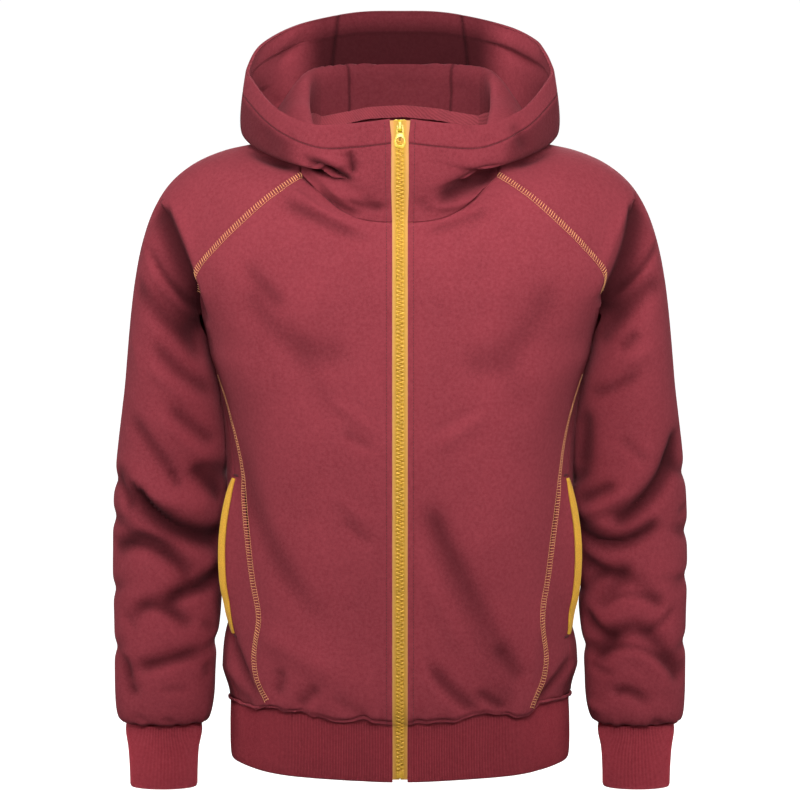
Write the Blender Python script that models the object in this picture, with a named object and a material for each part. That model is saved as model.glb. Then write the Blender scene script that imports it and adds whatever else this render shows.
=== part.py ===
"""A zip-up hooded sweatshirt with raglan sleeves, filled out as when it is worn.

Z is up, the garment faces -Y, and the wearer's left is +X. The origin is at shoulder height in the middle of the
neck, where the wearer's shoulders hold the garment up. Tables and sizes are in millimetres.

Every cloth piece is a wall: a grid of outer points, worked out from rows that run round the body, a sleeve or the
hood, and the same points moved inwards by the cloth's thickness. Neighbouring pieces share their seam points, and
each is then drawn back from the seam by half of SEAM_GAP.
"""

import math

import bmesh
import bpy
import mathutils
import numpy as np

MM = 0.001
CLOTH = 1.8  # thickness of the brushed fleece
RIB = 2.8  # thickness of the doubled rib knit
HOOD_HEM = 3.2  # thickness of the turned hem along the hood's opening
HOOD_HEM_DEPTH = 25.0
SEAM_GAP = 0.36
ZIP_HALF = 8.6  # from the middle of the zip to the cloth's edge

COLOURS = {
    "fleece": (0.30, 0.045, 0.060, 1.0),
    "rib_knit": (0.26, 0.035, 0.050, 1.0),
    "zip_tape": (0.86, 0.50, 0.11, 1.0),
    "zip_plastic": (0.88, 0.58, 0.06, 1.0),
    "pocket_trim": (0.85, 0.50, 0.05, 1.0),
    "neck_tape": (0.42, 0.13, 0.13, 1.0),
}
ROUGHNESS = {
    "fleece": 0.95, "rib_knit": 0.95, "zip_tape": 0.8, "zip_plastic": 0.35, "pocket_trim": 0.85, "neck_tape": 0.9,
}

# Rows round the body, from the hem seam (level -12) to the underarm (0) and the neck seam (9). cf and cb are the
# centre front and centre back, f and b the point where the front and the back row end: one side seam below the
# underarm, and the two raglan seams above it. turn is the heading of a row as it ends, in degrees from sideways to
# straight back, rise its slope, and full how square the row's corner is.
BODY_COLUMNS = (
    "level", "cf_y", "cf_z", "cb_y", "cb_z", "f_x", "f_y", "f_z", "b_x", "b_y", "b_z",
    "f_turn", "f_rise", "b_turn", "b_rise", "full",
)
BODY = (
    (-12, -133, -590, 108, -592, 178, -40, -592, 178, -40, -592, 64, 0, 116, 0, 0.56),
    (-11, -138, -580, 120, -582, 182, -42, -590, 182, -42, -590, 64, 0, 116, 0, 0.56),
    (-10, -139, -556, 122, -559, 182, -44, -560, 182, -44, -560, 64, 0, 116, 0, 0.56),
    (-9, -138, -517, 121, -519, 180, -45, -514, 180, -45, -514, 64, 0, 116, 0, 0.56),
    (-8, -137, -480, 117, -482, 178.5, -45, -480, 178.5, -45, -480, 64, 0, 116, 0, 0.56),
    (-7, -137, -444, 114, -446, 178, -45, -446, 178, -45, -446, 64, 0, 116, 0, 0.55),
    (-6, -138, -409, 113, -411, 178, -45, -411, 178, -45, -411, 64, 0, 116, 0, 0.55),
    (-5, -138, -374, 114, -376, 178, -45, -377, 178, -45, -377, 64, 0, 116, 0, 0.55),
    (-4, -138, -339, 117, -340, 178.5, -42, -343, 178.5, -42, -343, 66, 0, 114, 0, 0.59),
    (-3, -138, -302, 121, -302, 182, -35, -302, 182, -35, -302, 70, 0, 110, 0, 0.62),
    (-2, -137, -270, 124, -270, 188.5, -24, -270, 188.5, -24, -270, 76, 0, 104, 0, 0.66),
    (-1, -136, -241, 127, -241, 196, -10, -241, 196, -10, -241, 83, 0, 97, 0, 0.71),
    (0, -135, -215, 128, -214, 204, 8, -214, 204, 8, -214, 90, 0, 90, 0, 0.77),
    (1, -134, -197, 128, -188, 208, -22, -188, 206, 40, -188, 84, 0, 84, 0, 0.67),
    (2, -133, -181, 127, -161, 213, -46, -162, 207, 62, -159, 76, 0.02, 76, 0.02, 0.58),
    (3, -132, -165, 126, -134, 216, -64, -139, 205, 76, -132, 64, 0.05, 64, 0.05, 0.55),
    (4, -131, -149, 124, -107, 210, -78, -115, 196, 86, -106, 52, 0.10, 50, 0.10, 0.53),
    (5, -129, -133, 121, -80, 191, -89, -92, 177, 93, -80, 42, 0.16, 38, 0.14, 0.52),
    (6, -127, -117, 116, -51, 169, -96, -70, 157, 97, -54, 33, 0.22, 28, 0.18, 0.52),
    (7, -124, -101, 108, -21, 147, -98, -50, 135, 94, -27, 26, 0.28, 23, 0.20, 0.52),
    (8, -120, -85, 95, 12, 125, -91, -33, 112, 79, 3, 30, 0.40, 24, 0.20, 0.52),
    (9, -115, -68, 78, 45, 103, -79, -19, 88, 57, 34, 37, 0.75, 14, -0.10, 0.52),
)

# The seam between the front and side-front panels, seen from the front.
PRINCESS_COLUMNS = ("z", "x")
PRINCESS = (
    (-606, 134), (-584, 140), (-569, 147), (-532, 154), (-486, 149), (-450, 155), (-401, 161),
    (-343, 169), (-301, 175), (-265, 184), (-236, 194), (-214, 201), (-188, 206.5),
)
PRINCESS_TOP = 1  # the level where this seam runs into the raglan seam

# Rings of the sleeve below the underarm: middle, half width and half depth.
SLEEVE_COLUMNS = ("level", "x", "y", "z", "half_width", "half_depth")
SLEEVE = (
    (-14, 256, -22, -612, 41, 30),
    (-13, 256, -22, -609, 48, 38),
    (-12, 255.5, -21, -599, 52, 43),
    (-11, 255, -18, -580, 54, 46),
    (-10, 254.8, -14, -556, 54.7, 48),
    (-9, 254.2, -8, -528, 55.8, 51),
    (-8, 253, 0, -496, 58, 54),
    (-7, 253, 7, -460, 59.5, 57),
    (-6, 252.8, 12, -424, 59.7, 60),
    (-5, 251.8, 15, -388, 60.4, 64),
    (-4, 250.4, 16, -352, 59.6, 69),
    (-3, 248.2, 15, -316, 58, 73),
    (-2, 247.3, 13, -280, 54.2, 76),
    (-1, 248, 10, -246, 49, 78),
    (0, 249, 8, -214, 45, 80),
)
# Rows over the shoulder: the ridge point, its handles, and the heading in which the cloth leaves the raglan seam.
# smooth is 1 where it carries on the body's own surface and 0 where it folds back in the armpit.
SHOULDER_COLUMNS = ("level", "x", "y", "z", "rise", "ridge_handle", "seam_handle", "f_angle", "b_angle", "smooth")
SHOULDER = (
    (0, 294, 8, -214, 0, 107, 107, -90, 90, 0),
    (1, 289.5, 6, -171, 0, 96, 70, -76, 76, 0),
    (2, 284, 5, -131, 0, 84, 40, -44, 46, 0.1),
    (3, 276, 4, -93, 0, 72, 32, -14, 16, 0.5),
    (4, 264, 4, -59, 0, 64, 34, 4, -4, 0.9),
    (5, 246, 4, -31, 0, 58, 38, 20, -20, 1),
    (6, 220, 4, -10, 0, 54, 42, 30, -30, 1),
    (7, 187, 4, 4, 0.02, 48, 40, 30, -30, 1),
    (8, 148, 3, 12, 0.08, 38, 32, 40, -40, 1),
    (9, 107, 0, 24, 0.25, 26, 28, 60, -50, 1),
)

# The hood by its place round the neck seam, 0 at the zip and 1 at the centre back: it rises from the seam to a
# crest, falls into the bag behind and beside the neck, and comes up again, with a belly, to the opening's rim.
HOOD_COLUMNS = (
    "place", "crest_x", "crest_y", "crest_z", "crest_half", "low_x", "low_y", "low_z", "low_half", "belly",
    "rim_x", "rim_y", "rim_z",
)
HOOD = (
    (0.00, 9, -114, -32, 0, 9, -111, 3, 0, 0, 9, -106, 38),
    (0.10, 44, -113, -30, 1, 46, -113, -6, 1, 0, 47, -110, 34),
    (0.20, 72, -99, -18, 4, 79, -110, -12, 3, 0, 86, -98, 32),
    (0.32, 88, -68, 16, 7, 118, -84, -7, 6, 1, 128, -65, 48),
    (0.45, 99, -28, 46, 8, 153, -30, 5, 8, 2, 158, -15, 78),
    (0.58, 102, 4, 62, 8, 166, 14, 14, 9, 2, 164, 22, 95),
    (0.68, 101, 38, 84, 8, 160, 62, 3, 10, 3, 150, 80, 120),
    (0.76, 90, 60, 93, 8, 134, 107, -30, 12, 6, 117, 126, 139),
    (0.84, 60, 76, 97, 8, 82, 138, -72, 15, 10, 71, 149, 151),
    (1.00, 0, 86, 97, 8, 0, 151, -94, 19, 12, 0, 155, 156),
)
HOOD_CENTRE_PLACE = 0.84  # where the seams of the centre panel meet the neck

# The hem rib below its seam: (drop, inset).
HEM = ((0, 0), (6, 1.5), (24, 1.0), (46, 1.0), (62, 2.5))
# Rings of the cuff: (z, x, y, half width, half depth).
CUFF = (
    (-612.4, 256, -22, 41, 30),
    (-622, 256, -22, 41.5, 28),
    (-640, 256.5, -23, 38.5, 25.5),
    (-662, 256.5, -24, 37, 24),
    (-683, 256.5, -24, 36.5, 23),
)

POCKET_TOP, POCKET_BOTTOM = -343.0, -514.0
POCKET_LIFT = (16.5, -4.0, 0.0)  # how far the mouth stands off the body at its middle
POCKET_REACH = 16.0  # how far in from the edge the panel lifts
WELT_WIDTH, WELT_THICK, WELT_CLEAR, WELT_EDGE = 9.0, 1.2, 1.3, 0.9
WELT_TIP = 0.6  # the share of its width that a welt keeps at its ends
BAG_LEVELS = (-9, -4)  # the bag's lowest and highest row
BAG_FRONT_COLUMNS = 4  # the bag reaches under this many columns of the front panel
BAG_THICK, BAG_CLEAR = 1.0, 0.5

TAPE_THICK, TAPE_HIDDEN, TAPE_CLEAR = 1.0, 5.0, 0.6  # the zip tape, and how far it goes under the cloth
CHAIN_HALF, CHAIN_THICK = 3.75, 3.0
CHAIN_END_CLEAR = 3.0  # from the chain's ends to its first and last row between them
BOX_HEIGHT, BOX_THICK, BOX_SPARE = 5.0, 5.0, 0.2  # the retainer box at the zip's foot
# The slider is two plates on a post, with a bridge in front that carries the pull. Heights are from its middle.
SLIDER_WIDTH, SLIDER_HEIGHT = 14.5, 17.0
PLATE_CLEAR, PLATE_THICK = 2.2, 1.6
POST_LOW, POST_HIGH, POST_HALF, POST_SUNK = 1.5, 7.5, 1.5, 0.5
BRIDGE_TOP, BRIDGE_FOOT, BRIDGE_LEG, BRIDGE_HALF = 6.0, -4.0, 2.0, 1.5
BRIDGE_RISE, BRIDGE_BAR, BRIDGE_SUNK = 5.2, 1.6, 0.3
# The pull is a flat tab with a window at the bridge, narrow shoulders beside it and a round hole at its foot.
# Heights are from the pivot.
PULL_WIDTH, PULL_LENGTH, PULL_THICK, PULL_TOP, PULL_HOLE = 12.5, 24.0, 1.8, 0.9, 8.0
PULL_STANDOFF, PULL_PIVOT = 1.8, 1.5  # the pivot's distance before the front plate, and its height on the slider
WINDOW_HALF_WIDTH, WINDOW_HIGH, WINDOW_LOW = 2.1, -0.9, -7.3
SHOULDER_HALF_WIDTH, SHOULDER_LOW = 3.8, -7.2
HOLE_RISE = 7.0  # from the tab's foot to the hole's middle
CUT = 6.0  # the depth of the tools that cut through the tab
TAPE_HALF, NECK_TAPE_THICK, NECK_TAPE_CLEAR = 6.5, 1.0, 0.7

# Columns and rows of the solids' grids.
FRONT_COLUMNS, SIDE_COLUMNS, BACK_COLUMNS, SLEEVE_HALF_COLUMNS = 7, 3, 8, 7
HOOD_ROWS = 15

# Large folds, each an arc through three points, as seen from the front on the side it faces (-1 the front, 1 the
# back). on names the pieces it runs over: the sleeves, the body or both. height is below 0 in a trough, and left
# and right are the fold's widths on either hand on the way along it.
FOLD_COLUMNS = ("on", "facing", "x1", "z1", "x2", "z2", "x3", "z3", "left", "right", "height")
FOLDS = (
    # the armpit folds of the right sleeve, then of the left
    ("both", -1, -249, -62, -227, -113, -208, -174, 6, 18, -8),
    ("both", -1, -268, -94, -238, -134, -208, -176, 8, 9, 4),
    ("both", -1, -280, -140, -248, -170, -214, -205, 10, 12, -4),
    ("both", -1, 248, -58, 236, -106, 216, -152, 18, 6, -8),
    ("both", -1, 270, -86, 252, -120, 217, -156, 9, 8, 4),
    ("both", -1, 268, -136, 246, -152, 214, -190, 12, 10, -4),
    ("both", 1, -240, -70, -226, -120, -206, -170, 16, 7, -6),
    ("both", 1, 242, -74, 226, -118, 206, -168, 7, 16, -6),
    # the elbow and forearm of the right sleeve
    ("sleeve", -1, -290, -334, -256, -361, -222, -377, 13, 13, 5),
    ("sleeve", -1, -277, -361, -252, -387, -199, -411, 7, 14, -8),
    ("sleeve", -1, -216, -338, -206, -350, -196, -363, 10, 10, -6),
    ("sleeve", -1, -286, -384, -246, -410, -208, -438, 11, 11, 4),
    ("sleeve", -1, -303, -420, -267, -411, -229, -443, 8, 12, -5),
    ("sleeve", -1, -200, -456, -224, -462, -244, -473, 10, 10, -6),
    ("sleeve", -1, -284, -491, -259, -478, -229, -499, 9, 9, -4),
    ("sleeve", -1, -274, -546, -249, -536, -221, -533, 9, 9, -4),
    ("sleeve", -1, -297, -549, -292, -560, -288, -571, 10, 10, -4),
    ("sleeve", 1, -282, -352, -250, -372, -214, -372, 12, 12, -5),
    ("sleeve", 1, -276, -420, -246, -440, -212, -428, 12, 12, -5),
    ("sleeve", 1, -290, -500, -258, -520, -222, -506, 12, 12, -4),
    # the elbow and forearm of the left sleeve
    ("sleeve", -1, 262, -318, 240, -358, 204, -386, 12, 12, 4),
    ("sleeve", -1, 298, -304, 277, -352, 236, -387, 10, 10, -6),
    ("sleeve", -1, 196, -407, 231, -416, 270, -397, 9, 9, -5),
    ("sleeve", -1, 198, -440, 218, -447, 239, -445, 9, 9, -5),
    ("sleeve", -1, 217, -479, 247, -454, 277, -477, 9, 9, -4),
    ("sleeve", -1, 202, -503, 213, -510, 225, -512, 9, 9, -4),
    ("sleeve", -1, 213, -533, 256, -506, 300, -556, 9, 10, -6),
    ("sleeve", -1, 226, -556, 254, -532, 284, -566, 10, 10, 3),
    ("sleeve", -1, 234, -573, 246, -572, 260, -581, 9, 9, -3),
    ("sleeve", 1, 284, -344, 250, -366, 216, -360, 12, 12, -5),
    ("sleeve", 1, 218, -418, 250, -432, 282, -414, 12, 12, -5),
    ("sleeve", 1, 224, -496, 256, -512, 290, -498, 12, 12, -4),
    # the body
    ("body", -1, 34, -380, 66, -462, 112, -560, 15, 18, -3),
    ("body", -1, -150, -150, -112, -190, -70, -205, 18, 18, -3),
    ("body", -1, 150, -150, 118, -196, 84, -214, 18, 18, -3),
    ("body", 1, -120, -180, -60, -230, 0, -240, 20, 20, -4),
    ("body", 1, 120, -180, 66, -236, 10, -262, 20, 20, -4),
    ("body", 1, -140, -500, -70, -530, 0, -522, 18, 18, -3),
)


def column(table, names, name):
    """One named column of a table."""
    index = names.index(name)
    return np.array([row[index] for row in table], float)


def smooth(knots, values, at):
    """A curve through the values at the knots, with the slopes of a Catmull-Rom spline."""
    knots, values, at = np.asarray(knots, float), np.asarray(values, float), np.asarray(at, float)
    steps = np.diff(knots)
    chords = np.diff(values) / steps
    slopes = np.empty_like(values)
    slopes[0], slopes[-1] = chords[0], chords[-1]
    slopes[1:-1] = (chords[:-1] * steps[1:] + chords[1:] * steps[:-1]) / (steps[:-1] + steps[1:])
    i = np.clip(np.searchsorted(knots, at, side="right") - 1, 0, len(steps) - 1)
    t = (at - knots[i]) / steps[i]
    h = steps[i]
    return (
        (2 * t**3 - 3 * t**2 + 1) * values[i]
        + (t**3 - 2 * t**2 + t) * h * slopes[i]
        + (3 * t**2 - 2 * t**3) * values[i + 1]
        + (t**3 - t**2) * h * slopes[i + 1]
    )


def read(table, names, key, at):
    """Each column of a table but the key, read at places along the key."""
    knots = column(table, names, key)
    return {name: smooth(knots, column(table, names, name), at) for name in names if name != key}


def unit(vectors):
    length = np.linalg.norm(vectors, axis=-1, keepdims=True)
    return vectors / np.maximum(length, 1e-9)


def ramp(low, high, value):
    t = np.clip((value - low) / (high - low), 0, 1)
    return t * t * (3 - 2 * t)


def bezier(p0, p1, p2, p3, count=65):
    t = np.linspace(0, 1, count)[:, None]
    return (1 - t) ** 3 * p0 + 3 * (1 - t) ** 2 * t * p1 + 3 * (1 - t) * t**2 * p2 + t**3 * p3


def along(points, shares):
    """Points at these shares of a polyline's length."""
    run = np.concatenate([[0], np.cumsum(np.linalg.norm(np.diff(points, axis=0), axis=1))])
    at = np.asarray(shares) * run[-1]
    return np.stack([np.interp(at, run, points[:, k]) for k in range(3)], axis=1)


def body_row(start, end, turn, rise, full, back):
    """A row from the middle of the body to the side or the raglan seam, as a fine polyline."""
    heading = np.array([math.cos(math.radians(turn)), math.sin(math.radians(turn)) * (-1 if back else 1), rise])
    heading = unit(heading)
    chord = end - start
    first = start + np.array([full * abs(chord[0]), 0, 0])
    deep = abs(chord[1] / heading[1])
    pull = full * deep if turn >= 90 else min(full * abs(chord @ heading), 0.82 * deep)
    second = end - heading * pull
    return bezier(start, first, second, end)


def body_rows(levels):
    """For each level, the fine polylines of the front row and the back row, both from the middle outwards."""
    at = read(BODY, BODY_COLUMNS, "level", levels)
    rows = []
    for i in range(len(levels)):
        a = {name: values[i] for name, values in at.items()}
        front = body_row(
            np.array([ZIP_HALF, a["cf_y"], a["cf_z"]]), np.array([a["f_x"], a["f_y"], a["f_z"]]),
            a["f_turn"], a["f_rise"], a["full"], False,
        )
        back = body_row(
            np.array([0, a["cb_y"], a["cb_z"]]), np.array([a["b_x"], a["b_y"], a["b_z"]]),
            a["b_turn"], a["b_rise"], a["full"], True,
        )
        rows.append((front, back))
    return rows


def princess_share(row, level):
    """Where the princess seam crosses a front row, as a share of the row's length."""
    if level >= PRINCESS_TOP:
        return 1.0
    knots, values = column(PRINCESS, PRINCESS_COLUMNS, "z"), column(PRINCESS, PRINCESS_COLUMNS, "x")
    run = np.concatenate([[0], np.cumsum(np.linalg.norm(np.diff(row, axis=0), axis=1))])
    beyond = row[:, 0] - smooth(knots, values, np.clip(row[:, 2], knots[0], knots[-1]))
    i = int(np.argmax(beyond > 0))
    t = -beyond[i - 1] / (beyond[i] - beyond[i - 1])
    return float((run[i - 1] + t * (run[i] - run[i - 1])) / run[-1])


def body_patches(levels):
    """The left half of the body: front, side-front and back, as grids of points."""
    front, side, back = [], [], []
    for level, (front_row, back_row) in zip(levels, body_rows(levels)):
        share = princess_share(front_row, level)
        front.append(along(front_row, np.linspace(0, share, FRONT_COLUMNS + 1)))
        if level <= PRINCESS_TOP:
            side.append(along(front_row, np.linspace(share, 1, SIDE_COLUMNS + 1)))
        back.append(along(back_row, np.linspace(1, 0, BACK_COLUMNS + 1)))
    return {"front": np.array(front), "side_front": np.array(side), "back": np.array(back)}


def seam_planes(levels, step=0.02):
    """Normals of the body's surface at the front and back raglan seams."""
    here, above = body_rows(levels), body_rows(np.minimum(levels + step, 9))
    below = body_rows(levels - step)
    found = []
    for side, sign in ((0, 1), (1, -1)):
        across = np.array([r[side][-1] - r[side][-3] for r in here]) * sign
        up = np.array([a[side][-1] - b[side][-1] for a, b in zip(above, below)])
        found.append(unit(np.cross(across, up)))
    return found


def arm_ring(x, y, z, half_width, half_depth, shares):
    """A level ring round the arm, from its inner side over the front and the outside to the back and round."""
    outside, inside = np.array([x + half_width, y, z]), np.array([x - half_width, y, z])
    halves = []
    for sign in (-1, 1):
        pull = np.array([0, sign * half_depth * 4 / 3, 0])
        halves.append(along(bezier(inside, inside + pull, outside + pull, outside), shares))
    return np.concatenate([halves[0], halves[1][::-1][1:]])


def sleeve_patch(levels, shares):
    """The left sleeve as a grid: each row runs from the inner or front seam round the outside to the back."""
    arm, shoulder = levels[levels < 0], levels[levels >= 0]
    at = read(SLEEVE, SLEEVE_COLUMNS, "level", arm)
    rows = [
        arm_ring(at["x"][i], at["y"][i], at["z"][i], at["half_width"][i], at["half_depth"][i], shares)
        for i in range(len(arm))
    ]
    at = read(SHOULDER, SHOULDER_COLUMNS, "level", shoulder)
    body = read(BODY, BODY_COLUMNS, "level", shoulder)
    planes = seam_planes(shoulder)
    for i in range(len(shoulder)):
        ridge = np.array([at["x"][i], at["y"][i], at["z"][i]])
        halves = []
        for side, sign, names in ((0, -1, ("f_x", "f_y", "f_z")), (1, 1, ("b_x", "b_y", "b_z"))):
            seam = np.array([body[name][i] for name in names])
            angle = math.radians(at["f_angle" if side == 0 else "b_angle"][i])
            own = np.array([math.cos(angle), math.sin(angle), 0])
            chord, normal = ridge - seam, planes[side][i]
            carried = unit(chord - (chord @ normal) * normal)
            weight = min(max(at["smooth"][i], 0), 1)
            heading = unit(own * (1 - weight) + carried * weight)
            pull = unit(np.array([0, sign, sign * at["rise"][i]]))
            curve = bezier(
                seam, seam + heading * at["seam_handle"][i], ridge + pull * at["ridge_handle"][i], ridge
            )
            halves.append(along(curve, shares))
        rows.append(np.concatenate([halves[0], halves[1][::-1][1:]]))
    return np.array(rows)


def b_spline(controls, places):
    """A clamped cubic B-spline through the first and last of the control points, at places from 0 to 1."""
    n, degree = len(controls), 3
    knots = np.concatenate([[0] * degree, np.linspace(0, 1, n - degree + 1), [1] * degree])
    points = []
    for t in places:
        k = int(min(max(np.searchsorted(knots, t, side="right") - 1, degree), n - 1))
        d = [controls[k - degree + j].copy() for j in range(degree + 1)]
        for r in range(1, degree + 1):
            for j in range(degree, r - 1, -1):
                i = k - degree + j
                w = (t - knots[i]) / (knots[i + degree - r + 1] - knots[i])
                d[j] = (1 - w) * d[j - 1] + w * d[j]
        points.append(d[degree])
    return np.array(points)


def hood_patch(neck, rows):
    """The left half of the hood on a row of neck points: one column of points over each of them."""
    run = np.concatenate([[0], np.cumsum(np.linalg.norm(np.diff(neck, axis=0), axis=1))])
    places = run / run[-1]
    beyond = tuple(
        2 - value if name == "place" else -value if name.endswith("_x") else value
        for name, value in zip(HOOD_COLUMNS, HOOD[-2])
    )
    at = read((*HOOD, beyond), HOOD_COLUMNS, "place", places)
    columns = []
    for i, seam in enumerate(neck):
        crest = np.array([at["crest_x"][i], at["crest_y"][i], at["crest_z"][i]])
        low = np.array([at["low_x"][i], at["low_y"][i], at["low_z"][i]])
        rim = np.array([at["rim_x"][i], at["rim_y"][i], at["rim_z"][i]])
        out = unit(np.array([low[0], low[1] + 10, 0]))
        crest_in, crest_out = crest - out * at["crest_half"][i], crest + out * at["crest_half"][i]
        low_in, low_out = low - out * at["low_half"][i], low + out * at["low_half"][i]
        controls = [
            seam, seam * 0.5 + crest_in * 0.5, crest_in, crest_out, crest_out * 0.5 + low_in * 0.5,
            low_in, low_out, low_out * 0.45 + rim * 0.55 + out * at["belly"][i], rim,
        ]
        fine_places = np.linspace(0, 1, 129)
        fine = b_spline(controls, fine_places)
        length = np.concatenate([[0], np.cumsum(np.linalg.norm(np.diff(fine, axis=0), axis=1))])
        hem = np.interp(length[-1] - HOOD_HEM_DEPTH, length, fine_places)
        step = np.interp(length[-1] - HOOD_HEM_DEPTH + 1.5, length, fine_places)
        columns.append(b_spline(controls, [*np.linspace(0, hem, rows - 2), step, 1.0]))
    return np.array(columns).transpose(1, 0, 2), places


def mirrored(grid):
    """The same grid on the other side, with its columns turned round so that it still faces out."""
    return grid[:, ::-1] * np.array([-1, 1, 1])


def key(point):
    return tuple(np.round(point, 2))


def triangles(grid):
    """Corner triples of a grid's triangles as (row, column) pairs, each quad cut along its shorter diagonal."""
    found = []
    for i in range(grid.shape[0] - 1):
        for j in range(grid.shape[1] - 1):
            a, b, c, d = (i, j), (i, j + 1), (i + 1, j + 1), (i + 1, j)
            if np.linalg.norm(grid[a] - grid[c]) <= np.linalg.norm(grid[b] - grid[d]):
                found += [(a, b, c), (a, c, d)]
            else:
                found += [(a, b, d), (b, c, d)]
    return found


def shared_normals(patches):
    """Smooth normals for every patch, the same on both sides of a seam unless the cloth folds sharply there."""
    total, own = {}, {}
    for name, grid in patches.items():
        own[name] = {}
        for corners in triangles(grid):
            a, b, c = (grid[k] for k in corners)
            normal = np.cross(b - a, c - a)
            for point in (a, b, c):
                total[key(point)] = total.get(key(point), 0) + normal
                own[name][key(point)] = own[name].get(key(point), 0) + normal
    normals = {}
    for name, grid in patches.items():
        normals[name] = np.zeros_like(grid)
        for where in np.ndindex(grid.shape[:2]):
            point = key(grid[where])
            shared, alone = unit(total[point]), unit(own[name][point])
            normals[name][where] = shared if shared @ alone > 0.4 else alone
    return normals


def material(name):
    made = bpy.data.materials.get(name)
    if made is None:
        made = bpy.data.materials.new(name)
        made.use_nodes = True
        shader = made.node_tree.nodes["Principled BSDF"]
        shader.inputs["Base Color"].default_value = COLOURS[name]
        shader.inputs["Roughness"].default_value = ROUGHNESS[name]
    return made


def finish(obj, slot, collection):
    obj.data.materials.append(material(slot))
    collection.objects.link(obj)
    return obj


def wall(name, slot, collection, outer, inner):
    """A closed solid between two grids of points, in millimetres. Points that coincide are one."""
    index, corners = {}, []
    for where in np.ndindex(outer.shape[:2]):
        index.setdefault(key(outer[where]), len(index))
        if index[key(outer[where])] == len(corners):
            corners.append((outer[where], inner[where]))
    count = len(corners)
    faces, edges = [], set()
    for triple in triangles(outer):
        a, b, c = (index[key(outer[k])] for k in triple)
        if len({a, b, c}) == 3:
            faces += [(a, b, c), (c + count, b + count, a + count)]
            edges |= {(a, b), (b, c), (c, a)}
    points = [p for p, _ in corners] + [q for _, q in corners]
    for a, b in sorted(edges):
        if (b, a) in edges:
            continue
        under_a, under_b = a + count, b + count
        if np.linalg.norm(points[a] - points[under_b]) <= np.linalg.norm(points[b] - points[under_a]):
            faces += [(b, a, under_b), (a, under_a, under_b)]
        else:
            faces += [(b, a, under_a), (b, under_a, under_b)]
    mesh = bpy.data.meshes.new(name)
    mesh.from_pydata([tuple(p * MM) for p in points], [], faces)
    mesh.shade_smooth()
    mesh.set_sharp_from_angle(angle=math.radians(50))
    return finish(bpy.data.objects.new(name, mesh), slot, collection)


def hem_patch(seam):
    """The left half of the hem rib on the body's lowest row, its lower edge first."""
    out = unit(seam * np.array([1, 1, 0]))
    out[0] = (0, -1, 0)
    out[-1] = (0, 1, 0)
    return np.array([seam - out * inset - np.array([0, 0, drop]) for drop, inset in HEM[::-1]])


def cuff_patch(shares):
    return np.array([arm_ring(x, y, z, a, b, shares) for z, x, y, a, b in CUFF[::-1]])


def base_patches():
    """Every fleece and rib piece as a grid of points on its outer side, keyed by the piece's name."""
    body_levels = np.concatenate([[-12, -11, -10], np.arange(*BAG_LEVELS, 0.5), np.arange(BAG_LEVELS[1], 10.0)])
    sleeve_levels = np.concatenate([[-14], np.arange(-13, -2, 0.5), np.arange(-2.0, 10.0)])
    shares = np.linspace(0, 1, SLEEVE_HALF_COLUMNS + 1)
    left = body_patches(body_levels)
    left["sleeve"] = sleeve_patch(sleeve_levels, shares)
    left["cuff"] = cuff_patch(shares)
    left["hem_rib"] = hem_patch(np.concatenate(
        [left["front"][0], left["side_front"][0][1:], left["back"][0][1:]]
    ))
    neck = np.concatenate([left["front"][-1], left["sleeve"][-1][1:], left["back"][-1][1:]])
    hood, places = hood_patch(neck, HOOD_ROWS)
    split = int(np.argmin(abs(places - HOOD_CENTRE_PLACE)))
    left["hood"], left["hood_centre"] = hood[:, : split + 1], hood[:, split:]
    bag_rows = (body_levels >= BAG_LEVELS[0]) & (body_levels <= BAG_LEVELS[1])
    side_rows = bag_rows[: len(left["side_front"])]
    left["pocket_bag"] = np.concatenate(
        [left["front"][bag_rows, -BAG_FRONT_COLUMNS:], left["side_front"][side_rows, 1:]], axis=1
    )
    left["side_front"] = lifted(left["side_front"], left["side_front"][:, -1])
    patches = {}
    for name, grid in left.items():
        right = mirrored(grid)
        if name in ("back", "hood_centre"):
            patches[name] = np.concatenate([grid, right[:, 1:]], axis=1)
        elif name == "hem_rib":
            patches[name] = np.concatenate([grid, right[:, 1:]], axis=1)
        else:
            patches[name + "_left"], patches[name + "_right"] = grid, right
    return patches


def gape(z):
    """How far the pocket's mouth stands open at a height, from 0 at its ends to 1 at its middle."""
    t = np.clip((POCKET_TOP - z) / (POCKET_TOP - POCKET_BOTTOM), 0, 1)
    return np.sin(math.pi * t) ** 0.7


def lifted(grid, ends):
    """A grid on the side-front panel with the pocket's mouth lifted, given the panel's edge point in each row."""
    far = np.linalg.norm(ends[:, None, :2] - grid[:, :, :2], axis=-1)
    lift = gape(grid[:, :, 2]) * np.exp(-far / POCKET_REACH)
    return grid + lift[..., None] * np.array(POCKET_LIFT)


def fold_depth(points, normals, fold):
    """How far one fold moves each of the points along its normal."""
    f = dict(zip(FOLD_COLUMNS, fold))
    a, b, c = (np.array([f["x" + end], f["z" + end]]) for end in "123")
    t = np.linspace(0, 1, 17)[:, None]
    arc = a * (1 - t) * (1 - 2 * t) + b * 4 * t * (1 - t) + c * t * (2 * t - 1)
    flat = points[..., [0, 2]]
    near, side = np.full(flat.shape[:-1], 1e9), np.zeros(flat.shape[:-1])
    for start, end in zip(arc[:-1], arc[1:]):
        step = end - start
        share = np.clip((flat - start) @ step / (step @ step), 0, 1)
        off = flat - start - share[..., None] * step
        distance = np.linalg.norm(off, axis=-1)
        hand = step[0] * off[..., 1] - step[1] * off[..., 0]
        side = np.where(distance < near, hand, side)
        near = np.minimum(distance, near)
    width = np.where(side > 0, f["left"], f["right"])
    turned = ramp(0.1, 0.6, normals[..., 1] * f["facing"])
    return f["height"] * np.exp(-((near / width) ** 2)) * turned


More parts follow.
